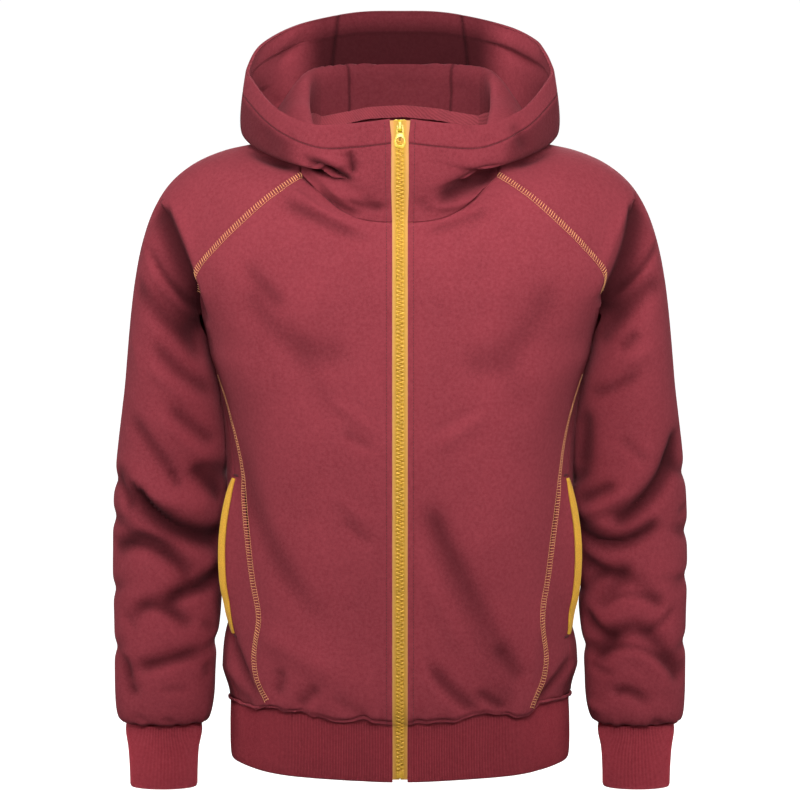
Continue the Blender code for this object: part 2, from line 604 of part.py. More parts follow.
def folded(patches):
    """The patches with the large folds pressed in along the surface's normals."""
    normals = shared_normals(patches)
    made = {}
    for name, grid in patches.items():
        group = "sleeve" if name.startswith(("sleeve", "cuff")) else "body"
        folds = [fold for fold in FOLDS if fold[0] in ("both", group)]
        depth = sum(fold_depth(grid, normals[name], fold) for fold in folds)
        made[name] = grid + normals[name] * depth[..., None]
    return made


def borders(name, grid):
    """The seams of a piece: (rows, columns, step into the piece) for each."""
    rows, columns = grid.shape[:2]
    every_row, every_column = range(rows), range(columns)
    low = [(0, j, 1, 0) for j in every_column]
    high = [(rows - 1, j, -1, 0) for j in every_column]
    first = [(i, 0, 0, 1) for i in every_row]
    last = [(i, columns - 1, 0, -1) for i in every_row]
    if name.startswith("sleeve"):
        above = [i for i in every_row if i >= rows - len(SHOULDER)]
        return high + [(i, 0, 0, 1) for i in above] + [(i, columns - 1, 0, -1) for i in above]
    if name == "hem_rib":
        return high
    if name.startswith(("cuff", "pocket_bag")):
        return []
    if name == "hood_centre":
        return low + first + last
    if name == "hood_left":
        return low + last
    if name == "hood_right":
        return low + first
    if name == "front_left":
        return low + high + last
    if name == "front_right":
        return low + high + first
    if name == "back":
        return low + high + first + last
    return low + first + last + high


def seam_shifts(patches, normals):
    """How far each border point moves away from the pieces that it is sewn to."""
    inward, total, count = {}, {}, {}
    for name, grid in patches.items():
        own = {}
        for i, j, di, dj in borders(name, grid):
            step = unit(grid[i + di, j + dj] - grid[i, j])
            own[key(grid[i, j])] = own.get(key(grid[i, j]), 0) + step
        inward[name] = {point: unit(step) for point, step in own.items()}
        for point, step in inward[name].items():
            total[point] = total.get(point, 0) + step
            count[point] = count.get(point, 0) + 1
    shifts = {}
    for name, grid in patches.items():
        shift = np.zeros_like(grid)
        for where in np.ndindex(grid.shape[:2]):
            point = key(grid[where])
            if point in inward[name] and count[point] == 1:
                shift[where] = 2 * SEAM_GAP * inward[name][point]
            elif point in inward[name]:
                step = inward[name][point]
                away = step - (total[point] - step) / (count[point] - 1)
                if np.linalg.norm(away) < 0.4:
                    away = -2 * normals[name][where]
                shift[where] = SEAM_GAP / 2 * unit(away) * min(2.0, 1 / max(np.linalg.norm(away) / 2, 0.5))
        shifts[name] = shift
    return shifts


def thickness_of(name, grid):
    """The wall's thickness at each point of a piece."""
    if name.startswith("cuff") or name == "hem_rib":
        return np.full(grid.shape[:2], RIB)
    if name.startswith("pocket_bag"):
        return np.full(grid.shape[:2], BAG_THICK)
    thick = np.full(grid.shape[:2], CLOTH)
    if name.startswith("hood"):
        thick[-2:] = HOOD_HEM
    return thick


def build_cloth(collection):
    """Every fleece and rib piece as a wall. Returns their outer grids and normals."""
    patches = folded(base_patches())
    normals = shared_normals(patches)
    shifts = seam_shifts(patches, normals)
    for name, grid in patches.items():
        outer = grid + shifts[name]
        if name.startswith("pocket_bag"):
            outer = outer - normals[name] * (CLOTH + BAG_CLEAR)
        inner = outer - normals[name] * thickness_of(name, grid)[..., None]
        slot = "rib_knit" if name.startswith("cuff") or name == "hem_rib" else "fleece"
        wall(name, slot, collection, outer, inner)
    return patches, normals


def build_neck_tape(collection, patches):
    """The tape over the neck seam, inside the back of the neck, from one shoulder's ridge to the other's."""
    ridge = SLEEVE_HALF_COLUMNS
    hood = [patches["hood_left"], patches["hood_centre"][:, 1:], patches["hood_right"][:, 1:]]
    hood = np.concatenate([grid[:2] for grid in hood], axis=1)
    below = [patches["sleeve_left"][:, ridge:], patches["back"][:, 1:], patches["sleeve_right"][:, 1 : ridge + 1]]
    below = np.concatenate([grid[-2:] for grid in below], axis=1)
    start = FRONT_COLUMNS + ridge
    seam = hood[0, start : start + below.shape[1]]
    up = unit(hood[1, start : start + below.shape[1]] - seam)
    down = unit(below[0] - seam)
    runs = unit(np.gradient(seam, axis=0))
    up_normals, down_normals = unit(np.cross(runs, up)), unit(np.cross(runs, -down))
    middle = unit(up_normals + down_normals)
    mitre = 1 / np.maximum((middle * up_normals).sum(axis=-1, keepdims=True), 0.5)
    depth = CLOTH + NECK_TAPE_CLEAR
    outer = np.array([
        seam + down * TAPE_HALF - down_normals * depth,
        seam - middle * depth * mitre,
        seam + up * TAPE_HALF - up_normals * depth,
    ])
    inner = np.array([
        outer[0] - down_normals * NECK_TAPE_THICK,
        outer[1] - middle * NECK_TAPE_THICK * mitre,
        outer[2] - up_normals * NECK_TAPE_THICK,
    ])
    wall("neck_tape", "neck_tape", collection, outer, inner)


def zip_path(patches):
    """Rows up the front's edge: the edge, a point on the panel beside it, and how deep the tape's middle lies."""
    edges, beside, depth = [], [], []
    for name, thick in (("hem_rib", RIB), ("front_left", CLOTH), ("hood_left", CLOTH)):
        grid = patches[name]
        for i in range(len(grid)):
            here = HOOD_HEM if name == "hood_left" and i >= len(grid) - 2 else thick
            if edges and np.linalg.norm(grid[i, 0] - edges[-1]) < 0.5:
                depth[-1] = max(depth[-1], here)
                continue
            edges.append(grid[i, 0])
            beside.append(grid[i, 0] + TAPE_HIDDEN * unit(grid[i, 1] - grid[i, 0]))
            depth.append(here)
    edges = np.array(edges)
    rise = unit(np.gradient(edges, axis=0))
    out = np.stack([np.zeros(len(edges)), -rise[:, 2], rise[:, 1]], axis=1)
    return edges, np.array(beside), out, np.array(depth) + TAPE_CLEAR + TAPE_THICK / 2


def build_zip_tapes(collection, path):
    edges, beside, out, depth = path
    middle = edges * np.array([0, 1, 1]) + np.array([CHAIN_HALF + SEAM_GAP, 0, 0])
    rows = np.stack([middle, beside], axis=1)
    front = rows - out[:, None] * (depth - TAPE_THICK / 2)[:, None, None]
    back = rows - out[:, None] * (depth + TAPE_THICK / 2)[:, None, None]
    wall("zip_tape_left", "zip_tape", collection, front, back)
    wall("zip_tape_right", "zip_tape", collection, mirrored(front), mirrored(back))


def build_zip_hardware(collection, path):
    """The chain as one plain strip, its retainer box, the slider with its bridge, and the pull tab."""
    edges, _, out, depth = path
    line = edges * np.array([0, 1, 1]) - out * depth[:, None]
    run = np.concatenate([[0], np.cumsum(np.linalg.norm(np.diff(line, axis=0), axis=1))])
    top = run[-1] - SLIDER_HEIGHT / 2
    between = run[(run > BOX_HEIGHT + CHAIN_END_CLEAR) & (run < top - CHAIN_END_CLEAR)]
    chain_run = np.concatenate([[BOX_HEIGHT], between, [top]])
    chain = np.stack([np.interp(chain_run, run, line[:, k]) for k in range(3)], axis=1)
    normals = np.stack([np.interp(chain_run, run, out[:, k]) for k in range(3)], axis=1)
    sides = np.array([-CHAIN_HALF, CHAIN_HALF])
    across = chain[:, None] + sides[None, :, None] * np.array([1, 0, 0])
    lift = normals[:, None] * CHAIN_THICK / 2
    wall("zip_teeth", "zip_plastic", collection, across + lift, across - lift)

    low_rise, high_rise = unit(line[1] - line[0]), unit(line[-1] - line[-2])
    box_at = line[0] + low_rise * BOX_HEIGHT / 2
    box_half = (CHAIN_HALF + BOX_SPARE, BOX_THICK / 2, BOX_HEIGHT / 2 - BOX_SPARE)
    block("zip_box", collection, (0, 0, 0), box_half, box_at, math.atan2(-low_rise[1], low_rise[2]))

    tilt = math.atan2(-high_rise[1], high_rise[2])
    slider_at = line[-1] - high_rise * SLIDER_HEIGHT / 2
    plate, face = PLATE_THICK / 2, PLATE_CLEAR + PLATE_THICK
    plate_half = (SLIDER_WIDTH / 2, plate, SLIDER_HEIGHT / 2)
    slider = block("zip_slider", collection, (0, -PLATE_CLEAR - plate, 0), plate_half, slider_at, tilt)
    leg_half = (BRIDGE_HALF, (BRIDGE_RISE + BRIDGE_SUNK) / 2, BRIDGE_LEG / 2)
    leg_at = -face - BRIDGE_RISE + leg_half[1]
    bar_half = (BRIDGE_HALF, BRIDGE_BAR / 2, (BRIDGE_TOP - BRIDGE_FOOT + BRIDGE_LEG) / 2)
    bar_at = BRIDGE_BAR / 2 - face - BRIDGE_RISE
    post_half = (POST_HALF, PLATE_CLEAR + POST_SUNK, (POST_HIGH - POST_LOW) / 2)
    pieces = [
        ("back_plate", (0, PLATE_CLEAR + plate, 0), plate_half),
        ("post", (0, 0, (POST_LOW + POST_HIGH) / 2), post_half),
        ("bridge_top", (0, leg_at, BRIDGE_TOP), leg_half),
        ("bridge_foot", (0, leg_at, BRIDGE_FOOT), leg_half),
        ("bridge_bar", (0, bar_at, (BRIDGE_TOP + BRIDGE_FOOT) / 2), bar_half),
    ]
    for name, centre, half in pieces:
        combine(slider, block(name, None, centre, half, slider_at, tilt), "UNION")

    turn = mathutils.Matrix.Rotation(tilt, 3, "X")
    pivot = slider_at + np.array(turn @ mathutils.Vector((0, -face - PULL_STANDOFF, PULL_PIVOT)))
    pull_half = (PULL_WIDTH / 2, PULL_THICK / 2, PULL_LENGTH / 2)
    pull = block("zip_pull", collection, (0, 0, PULL_TOP - PULL_LENGTH / 2), pull_half, pivot, tilt)
    window_at = (0, 0, (WINDOW_HIGH + WINDOW_LOW) / 2)
    window_half = (WINDOW_HALF_WIDTH, CUT / 2, (WINDOW_HIGH - WINDOW_LOW) / 2)
    combine(pull, block("pull_window", None, window_at, window_half, pivot, tilt), "DIFFERENCE")
    for side in (-1, 1):
        shoulder_at = (side * (SHOULDER_HALF_WIDTH + CUT / 2), 0, SHOULDER_LOW + CUT)
        shoulder = block("pull_shoulder", None, shoulder_at, (CUT / 2, CUT / 2, CUT), pivot, tilt)
        combine(pull, shoulder, "DIFFERENCE")
    mesh = bpy.data.meshes.new("pull_hole")
    shape = bmesh.new()
    bmesh.ops.create_cone(
        shape, cap_ends=True, segments=32, radius1=PULL_HOLE / 2 * MM, radius2=PULL_HOLE / 2 * MM, depth=CUT * MM,
        matrix=mathutils.Matrix.Translation((0, 0, (PULL_TOP - PULL_LENGTH + HOLE_RISE) * MM))
        @ mathutils.Matrix.Rotation(math.pi / 2, 4, "X"),
    )
    shape.to_mesh(mesh)
    shape.free()
    hole = bpy.data.objects.new("pull_hole", mesh)
    place(hole, pivot, tilt)
    combine(pull, hole, "DIFFERENCE")


def place(obj, at, tilt):
    obj.location = tuple(np.asarray(at) * MM)
    obj.rotation_euler = (tilt, 0, 0)


def block(name, collection, centre, half, at, tilt):
    """A box in a frame that stands at a point of the zip and leans with it."""
    mesh = bpy.data.meshes.new(name)
    shape = bmesh.new()
    bmesh.ops.create_cube(shape, size=2)
    for vertex in shape.verts:
        vertex.co = [(c + h * v) * MM for c, h, v in zip(centre, half, vertex.co)]
    shape.to_mesh(mesh)
    shape.free()
    made = bpy.data.objects.new(name, mesh)
    place(made, at, tilt)
    if collection is not None:
        finish(made, "zip_plastic", collection)
    return made


def combine(obj, tool, operation):
    """Joins a tool to an object or cuts it out of it."""
    tool.hide_render = True
    tool.display_type = "WIRE"
    bpy.data.collections["tools"].objects.link(tool)
    change = obj.modifiers.new(tool.name, "BOOLEAN")
    change.operation = operation
    change.object = tool


def build_pockets(collection, patches, normals):
    """The welt along each pocket's mouth, laid on the side-front panel's own points."""
    for side, turn in (("left", np.copy), ("right", mirrored)):
        panel, up = turn(patches["side_front_" + side]), turn(normals["side_front_" + side])
        inner, outer = [], []
        for row, row_up in zip(panel, up):
            if not POCKET_BOTTOM - 0.5 < row[-1, 2] < POCKET_TOP + 0.5:
                continue
            width = WELT_WIDTH * (WELT_TIP + (1 - WELT_TIP) * ramp(0, 0.6, float(gape(row[-1, 2]))))
            shares = np.array([[width], [width / 2], [WELT_EDGE]]) / np.linalg.norm(row[-2] - row[-1])
            points = row[-1] + (row[-2] - row[-1]) * shares
            leads = unit(row_up[-1] + (row_up[-2] - row_up[-1]) * shares)
            inner.append(points + leads * WELT_CLEAR)
            outer.append(points + leads * (WELT_CLEAR + WELT_THICK))
        wall("pocket_welt_" + side, "pocket_trim", collection, turn(np.array(outer)), turn(np.array(inner)))


def build():
    for obj in list(bpy.data.objects):
        bpy.data.objects.remove(obj, do_unlink=True)
    hoodie = bpy.data.collections.new("zip_up_hoodie")
    tools = bpy.data.collections.new("tools")
    for made in (hoodie, tools):
        bpy.context.scene.collection.children.link(made)
    patches, normals = build_cloth(hoodie)
    build_neck_tape(hoodie, patches)
    path = zip_path(patches)
    build_zip_tapes(hoodie, path)
    build_zip_hardware(hoodie, path)
    build_pockets(hoodie, patches, normals)


build()
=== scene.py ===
"""The looks of the zip-up hooded sweatshirt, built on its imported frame.

Z is up, the garment faces -Y and the wearer's left is +X. Tables and sizes are in millimetres. Each cloth piece is
a closed wall between an outer grid of points and the same grid moved inwards. The grids run along the same rows as
the solids', with finer spacing, and take their folds, creases, seams and stitch grooves along the surface's normals.
"""

import math

import bmesh
import bpy
import numpy as np
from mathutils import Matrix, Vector


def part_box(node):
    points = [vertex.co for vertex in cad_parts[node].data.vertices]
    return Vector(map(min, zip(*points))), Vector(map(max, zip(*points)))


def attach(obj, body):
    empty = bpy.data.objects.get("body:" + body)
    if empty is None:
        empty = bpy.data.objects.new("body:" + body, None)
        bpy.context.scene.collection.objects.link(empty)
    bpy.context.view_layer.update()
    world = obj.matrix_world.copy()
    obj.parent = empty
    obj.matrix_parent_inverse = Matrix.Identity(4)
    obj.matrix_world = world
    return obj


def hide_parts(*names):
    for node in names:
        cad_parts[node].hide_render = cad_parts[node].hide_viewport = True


MATERIALS = {}  # this script's materials by name

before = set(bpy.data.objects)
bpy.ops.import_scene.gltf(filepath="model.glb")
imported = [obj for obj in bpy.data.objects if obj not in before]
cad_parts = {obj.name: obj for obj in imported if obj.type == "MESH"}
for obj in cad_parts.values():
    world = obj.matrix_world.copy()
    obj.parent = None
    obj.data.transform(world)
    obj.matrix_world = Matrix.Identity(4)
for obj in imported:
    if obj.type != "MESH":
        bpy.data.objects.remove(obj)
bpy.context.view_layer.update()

MM = 0.001
UP, LEVEL, FLIP = np.array([0, 0, 1]), np.array([1, 1, 0]), np.array([-1, 1, 1])
CLOTH, RIB, HOOD_HEM = 1.8, 2.8, 3.2  # thickness of the fleece, the doubled rib and the hood's turned hem
HOOD_HEM_DEPTH = 25.0
ZIP_HALF = 8.0  # from the middle to the fronts' edges
GRID = 3.2  # the spacing of the cloth's points
EDGE_STEPS = (0.0, 0.5, 1.1, 1.9, 3.0, 4.4, 6.0, 8.0)  # closer spacing beside a seam
SEAM_BACK = 0.14  # each piece is drawn back this far from its seam
FRONT_COLUMNS, SIDE_COLUMNS, BACK_COLUMNS, SLEEVE_COLUMNS_HALF = 60, 20, 70, 50
ARM_LENGTH, ARM_ROUND, HOOD_ROWS = 410, 165, 112

BODY_COLUMNS = (
    "level", "cf_y", "cf_z", "cb_y", "cb_z", "f_x", "f_y", "f_z", "b_x", "b_y", "b_z",
    "f_turn", "f_rise", "b_turn", "b_rise", "full",
)
BODY = (
    (-12, -133, -590, 108, -592, 178, -40, -592, 178, -40, -592, 64, 0, 116, 0, 0.56),
    (-11, -138, -580, 120, -582, 182, -42, -590, 182, -42, -590, 64, 0, 116, 0, 0.56),
    (-10, -139, -556, 122, -559, 182, -44, -560, 182, -44, -560, 64, 0, 116, 0, 0.56),
    (-9, -138, -517, 121, -519, 180, -45, -514, 180, -45, -514, 64, 0, 116, 0, 0.56),
    (-8, -137, -480, 117, -482, 178.5, -45, -480, 178.5, -45, -480, 64, 0, 116, 0, 0.56),
    (-7, -137, -444, 114, -446, 178, -45, -446, 178, -45, -446, 64, 0, 116, 0, 0.55),
    (-6, -138, -409, 113, -411, 178, -45, -411, 178, -45, -411, 64, 0, 116, 0, 0.55),
    (-5, -138, -374, 114, -376, 178, -45, -377, 178, -45, -377, 64, 0, 116, 0, 0.55),
    (-4, -138, -339, 117, -340, 178.5, -42, -343, 178.5, -42, -343, 66, 0, 114, 0, 0.59),
    (-3, -138, -302, 121, -302, 182, -35, -302, 182, -35, -302, 70, 0, 110, 0, 0.62),
    (-2, -137, -270, 124, -270, 188.5, -24, -270, 188.5, -24, -270, 76, 0, 104, 0, 0.66),
    (-1, -136, -241, 127, -241, 196, -10, -241, 196, -10, -241, 83, 0, 97, 0, 0.71),
    (0, -135, -215, 128, -214, 204, 8, -214, 204, 8, -214, 90, 0, 90, 0, 0.77),
    (1, -134, -197, 128, -188, 208, -22, -188, 206, 40, -188, 84, 0, 84, 0, 0.67),
    (2, -133, -181, 127, -161, 213, -46, -162, 207, 62, -159, 76, 0.02, 76, 0.02, 0.58),
    (3, -132, -165, 126, -134, 216, -64, -139, 205, 76, -132, 64, 0.05, 64, 0.05, 0.55),
    (4, -131, -149, 124, -107, 210, -78, -115, 196, 86, -106, 52, 0.10, 50, 0.10, 0.53),
    (5, -129, -133, 121, -80, 191, -89, -92, 177, 93, -80, 42, 0.16, 38, 0.14, 0.52),
    (6, -127, -117, 116, -51, 169, -96, -70, 157, 97, -54, 33, 0.22, 28, 0.18, 0.52),
    (7, -124, -101, 108, -21, 147, -98, -50, 135, 94, -27, 26, 0.28, 23, 0.20, 0.52),
    (8, -120, -85, 95, 12, 125, -91, -33, 112, 79, 3, 30, 0.40, 24, 0.20, 0.52),
    (9, -115, -68, 78, 45, 103, -79, -19, 88, 57, 34, 37, 0.75, 14, -0.10, 0.52),
)

# The seam between the front and side-front panels, seen from the front: (z, x).
PRINCESS = (
    (-606, 134), (-584, 140), (-569, 147), (-532, 154), (-486, 149), (-450, 155), (-401, 161),
    (-343, 169), (-301, 175), (-265, 184), (-236, 194), (-214, 201), (-188, 206.5),
)
PRINCESS_TOP = 1  # the level where this seam runs into the raglan seam

# Rings of the sleeve below the underarm: middle, half width and half depth.
SLEEVE_COLUMNS = ("level", "x", "y", "z", "half_width", "half_depth")
SLEEVE = (
    (-14, 256, -22, -612, 41, 30), (-13, 256, -22, -609, 48, 38), (-12, 255.5, -21, -599, 52, 43),
    (-11, 255, -18, -580, 54, 46), (-10, 254.8, -14, -556, 54.7, 48), (-9, 254.2, -8, -528, 55.8, 51),
    (-8, 253, 0, -496, 58, 54), (-7, 253, 7, -460, 59.5, 57), (-6, 252.8, 12, -424, 59.7, 60),
    (-5, 251.8, 15, -388, 60.4, 64), (-4, 250.4, 16, -352, 59.6, 69), (-3, 248.2, 15, -316, 58, 73),
    (-2, 247.3, 13, -280, 54.2, 76), (-1, 248, 10, -246, 49, 78), (0, 249, 8, -214, 45, 80),
)
# Rows over the shoulder: the ridge point, its handles, and the heading in which the cloth leaves the raglan seam.
# smooth is 1 where it carries on the body's own surface and 0 where it folds back in the armpit.
SHOULDER_COLUMNS = ("level", "x", "y", "z", "rise", "ridge_handle", "seam_handle", "f_angle", "b_angle", "smooth")
SHOULDER = (
    (0, 294, 8, -214, 0, 107, 107, -90, 90, 0), (1, 289.5, 6, -171, 0, 96, 70, -76, 76, 0),
    (2, 284, 5, -131, 0, 84, 40, -44, 46, 0.1), (3, 276, 4, -93, 0, 72, 32, -14, 16, 0.5),
    (4, 264, 4, -59, 0, 64, 34, 4, -4, 0.9), (5, 246, 4, -31, 0, 58, 38, 20, -20, 1),
    (6, 220, 4, -10, 0, 54, 42, 30, -30, 1), (7, 187, 4, 4, 0.02, 48, 40, 30, -30, 1),
    (8, 148, 3, 12, 0.08, 38, 32, 40, -40, 1), (9, 107, 0, 24, 0.25, 26, 28, 60, -50, 1),
)

# The hood by its place round the neck seam, 0 at the zip and 1 at the centre back: it rises from the seam to a
# crest, falls into the bag behind and beside the neck, and comes up again, with a belly, to the opening's rim.
HOOD_COLUMNS = (
    "place", "crest_x", "crest_y", "crest_z", "crest_half", "low_x", "low_y", "low_z", "low_half", "belly",
    "rim_x", "rim_y", "rim_z",
)
HOOD = (
    (0.00, 9, -114, -32, 0, 9, -111, 3, 0, 0, 9, -106, 38),
    (0.10, 44, -113, -30, 1, 46, -113, -6, 1, 0, 47, -110, 34),
    (0.20, 72, -99, -18, 4, 79, -110, -12, 3, 0, 86, -98, 32),
    (0.32, 88, -68, 16, 7, 118, -84, -7, 6, 1, 128, -65, 48), (0.45, 99, -28, 46, 8, 153, -30, 5, 8, 2, 158, -15, 78),
    (0.58, 102, 4, 62, 8, 166, 14, 14, 9, 2, 164, 22, 95), (0.68, 101, 38, 84, 8, 160, 62, 3, 10, 3, 150, 80, 120),
    (0.76, 90, 60, 93, 8, 134, 107, -30, 12, 6, 117, 126, 139),
    (0.84, 60, 76, 97, 8, 82, 138, -72, 15, 10, 71, 149, 151), (1.00, 0, 86, 97, 8, 0, 151, -94, 19, 12, 0, 155, 156),
)
HOOD_CENTRE_PLACE = 0.84  # where the seams of the centre panel meet the neck

# Rings of the cuff: (z, x, y, half width, half depth), and the heights of its rows below the first ring.
CUFF = (
    (-612.4, 256, -22, 41, 30), (-622, 256, -22, 41.5, 28), (-640, 256.5, -23, 38.5, 25.5),
    (-662, 256.5, -24, 37, 24), (-683, 256.5, -24, 36.5, 23),
)
CUFF_DROPS = (0, 1.2, 3, 6, 9.6, 14, 20, 27, 34, 41, 48, 55, 61, 65.5, 68.2, 69.8, 70.6)
CUFF_MIDDLE = (254.0, -22.0)

POCKET_TOP, POCKET_BOTTOM = -343.0, -514.0
POCKET_LIFT = (16.5, -4.0, 0.0)  # how far the mouth stands off the body at its middle
POCKET_REACH = 16.0  # how far in from the edge the panel lifts
WELT_WIDTH, WELT_THICK, WELT_CLEAR, WELT_EDGE = 9.0, 1.2, 1.3, 0.9
WELT_TIP = 0.62  # the share of its width that a welt keeps at its ends
WELT_SWELL = (-0.7, -0.34, -0.25, -0.22, -0.25, -0.34, -0.7)  # how far its face lies under WELT_THICK across it
WELT_BACK = 0.25  # how far its back stands off the panel
BAG_LEVELS = (-9, -4)  # the bag's lowest and highest row
BAG_COLUMNS = 34  # it reaches under this many columns of the front
BAG_THICK, BAG_CLEAR = 1.0, 1.3  # its thickness, and how far it lies behind the cloth

TAPE_THICK, TAPE_CLEAR = 1.0, 0.6  # the zip tape, and how far it lies under the cloth
TAPE_ACROSS = (0.5, 2.4, 4.15, 5.2, 6.6, 8.0, 10.5, 13.4)  # its columns, from the middle
TAPE_STEP, TAPE_BEYOND = 2.0, 3.2  # its rows' spacing, and how far it goes on above the collar
ZIP_FOOT = (62, 40, 20, 6)  # the heights below the hem's seam through which the zip's line runs
TOOTH_PITCH, TEETH_FOOT, TEETH_TOP = 4.2, 7, 22  # the pitch, and how far from the tape's ends the teeth stop
TOOTH_BLOCKS = (  # a tooth's neck, root and head: (half size, bevel, bevel steps), place across, how far it is ahead
    (((2.2, 1.35, 0.97), 0.5, 1), 1.5, 0.0), (((1.25, 1.1, 1.98), 0.45, 1), 3.0, 0.0),
    (((0.85, 0.6, 0.75), 0.5, 2), 1.75, 1.45),
)
BOX_TALLER = 3.2  # how far the retainer box is taller than its solid
# The slider is two plates on a post, with a bridge in front that carries the pull. Heights are from its middle.
PLATE_CLEAR, PLATE_THICK = 2.2, 1.6
POST_LOW, POST_HIGH, POST_HALF = 1.5, 7.5, 1.5
BRIDGE = ((0.4, 7.2), (-2.6, 7.0), (-4.3, 5.2), (-4.4, 1.0), (-4.3, -2.4), (-2.6, -4.1), (0.4, -4.2))  # (y, z)
# The pull is a flat tab with a window at the bridge, narrow shoulders beside it and a round hole at its foot.
# Heights are from the pivot.
PULL_LENGTH, PULL_THICK, PULL_TOP, PULL_HOLE = 24.0, 1.8, 0.9, 8.0
PULL_STANDOFF, PULL_PIVOT = 1.8, 1.5  # the pivot's distance before the front plate, and its height on the slider
HOLE_RISE = 7.0  # from the tab's foot to the hole's middle
NECK_TAPE_THICK, NECK_TAPE_CLEAR = 1.0, 1.0
NECK_TAPE_ACROSS = (-6.5, -4, -1.5, 1.5, 4, 6.5)  # its rows, from the seam up the hood
NECK_TAPE_FRONT = -6  # the y of its ends

# Grooves and ridges beside the edges, each (distance from the edge, height, width).
ZIP_STITCH, COVER_LINE = 6.0, 5.6  # the stitch line beside the zip, and the one above the hem's seam
ZIP_GROOVES = ((0, -0.6, 1.4), (ZIP_STITCH, -0.45, 0.9))
HEM_GROOVES = ((0, -1.0, 1.3), (COVER_LINE, -1.3, 1.1), (3.0, 0.5, 1.5))
HOOD_GROOVES = ((0, -0.5, 1.3), (HOOD_HEM_DEPTH, -0.8, 1.1))
COLLAR_GROOVE, CUFF_GROOVE, PANEL_GROOVE = ((0, -1.0, 2.0),), ((0, -1.3, 2.2),), ((0, -0.6, 1.5),)
RIPPLES = ((17, 0.5, 0.45), (29, 1.3, 0.6), (43, 4.0, 0.7), (61, 2.2, 0.45))  # (waves round a tube, phase, height)

# Large folds, each an arc through three points, as seen from one side: (part, facing, folds). facing is -1 at the
# front, 1 at the back, -2 at the right and 2 at the left. A fold is x and z (or y and z) of its three points, its
# widths on the left and on the right of the way along it, and its height, below 0 in a trough, kept to its ends.
FOLDS = (
    # the armpit folds of the right sleeve, then of the left
    ("both", -1, (
        (-249, -62, -227, -113, -208, -174, 6, 18, -8), (-268, -94, -238, -134, -208, -176, 8, 9, 4),
        (-280, -140, -248, -170, -214, -205, 10, 12, -4), (248, -58, 236, -106, 216, -152, 18, 6, -8),
        (270, -86, 252, -120, 217, -156, 9, 8, 4), (268, -136, 246, -152, 214, -190, 12, 10, -4),
    )),
    ("both", 1, (
        (-240, -70, -226, -120, -206, -170, 16, 7, -6), (242, -74, 226, -118, 206, -168, 7, 16, -6),
    )),
    # the elbow and forearm of the right sleeve
    ("sleeve", -1, (
        (-290, -334, -256, -361, -222, -377, 13, 13, 5), (-277, -361, -252, -387, -199, -411, 7, 14, -8),
        (-216, -338, -206, -350, -196, -363, 10, 10, -6), (-286, -384, -246, -410, -208, -438, 11, 11, 4),
        (-303, -420, -267, -411, -229, -443, 8, 12, -5), (-200, -456, -224, -462, -244, -473, 10, 10, -6),
        (-284, -491, -259, -478, -229, -499, 9, 9, -4), (-274, -546, -249, -536, -221, -533, 9, 9, -4),
        (-297, -549, -292, -560, -288, -571, 10, 10, -4),
    )),
    ("sleeve", 1, (
        (-282, -352, -250, -372, -214, -372, 12, 12, -5), (-276, -420, -246, -440, -212, -428, 12, 12, -5),
        (-290, -500, -258, -520, -222, -506, 12, 12, -4),
    )),
    # the elbow and forearm of the left sleeve
    ("sleeve", -1, (
        (262, -318, 240, -358, 204, -386, 12, 12, 4), (298, -304, 277, -352, 236, -387, 10, 10, -6),
        (196, -407, 231, -416, 270, -397, 9, 9, -5), (198, -440, 218, -447, 239, -445, 9, 9, -5),
        (217, -479, 247, -454, 277, -477, 9, 9, -4), (202, -503, 213, -510, 225, -512, 9, 9, -4),
        (213, -533, 256, -506, 300, -556, 9, 10, -6), (226, -556, 254, -532, 284, -566, 10, 10, 3),
        (234, -573, 246, -572, 260, -581, 9, 9, -3),
    )),
    ("sleeve", 1, (
        (284, -344, 250, -366, 216, -360, 12, 12, -5), (218, -418, 250, -432, 282, -414, 12, 12, -5),
        (224, -496, 256, -512, 290, -498, 12, 12, -4),
    )),
    # the body
    ("body", -1, (
        (34, -380, 66, -462, 112, -560, 15, 18, -3), (-150, -150, -112, -190, -70, -205, 18, 18, -3),
        (150, -150, 118, -196, 84, -214, 18, 18, -3),
    )),
    ("body", 1, (
        (-120, -180, -60, -230, 0, -240, 20, 20, -4), (120, -180, 66, -236, 10, -262, 20, 20, -4),
        (-140, -500, -70, -530, 0, -522, 18, 18, -3),
    )),
)

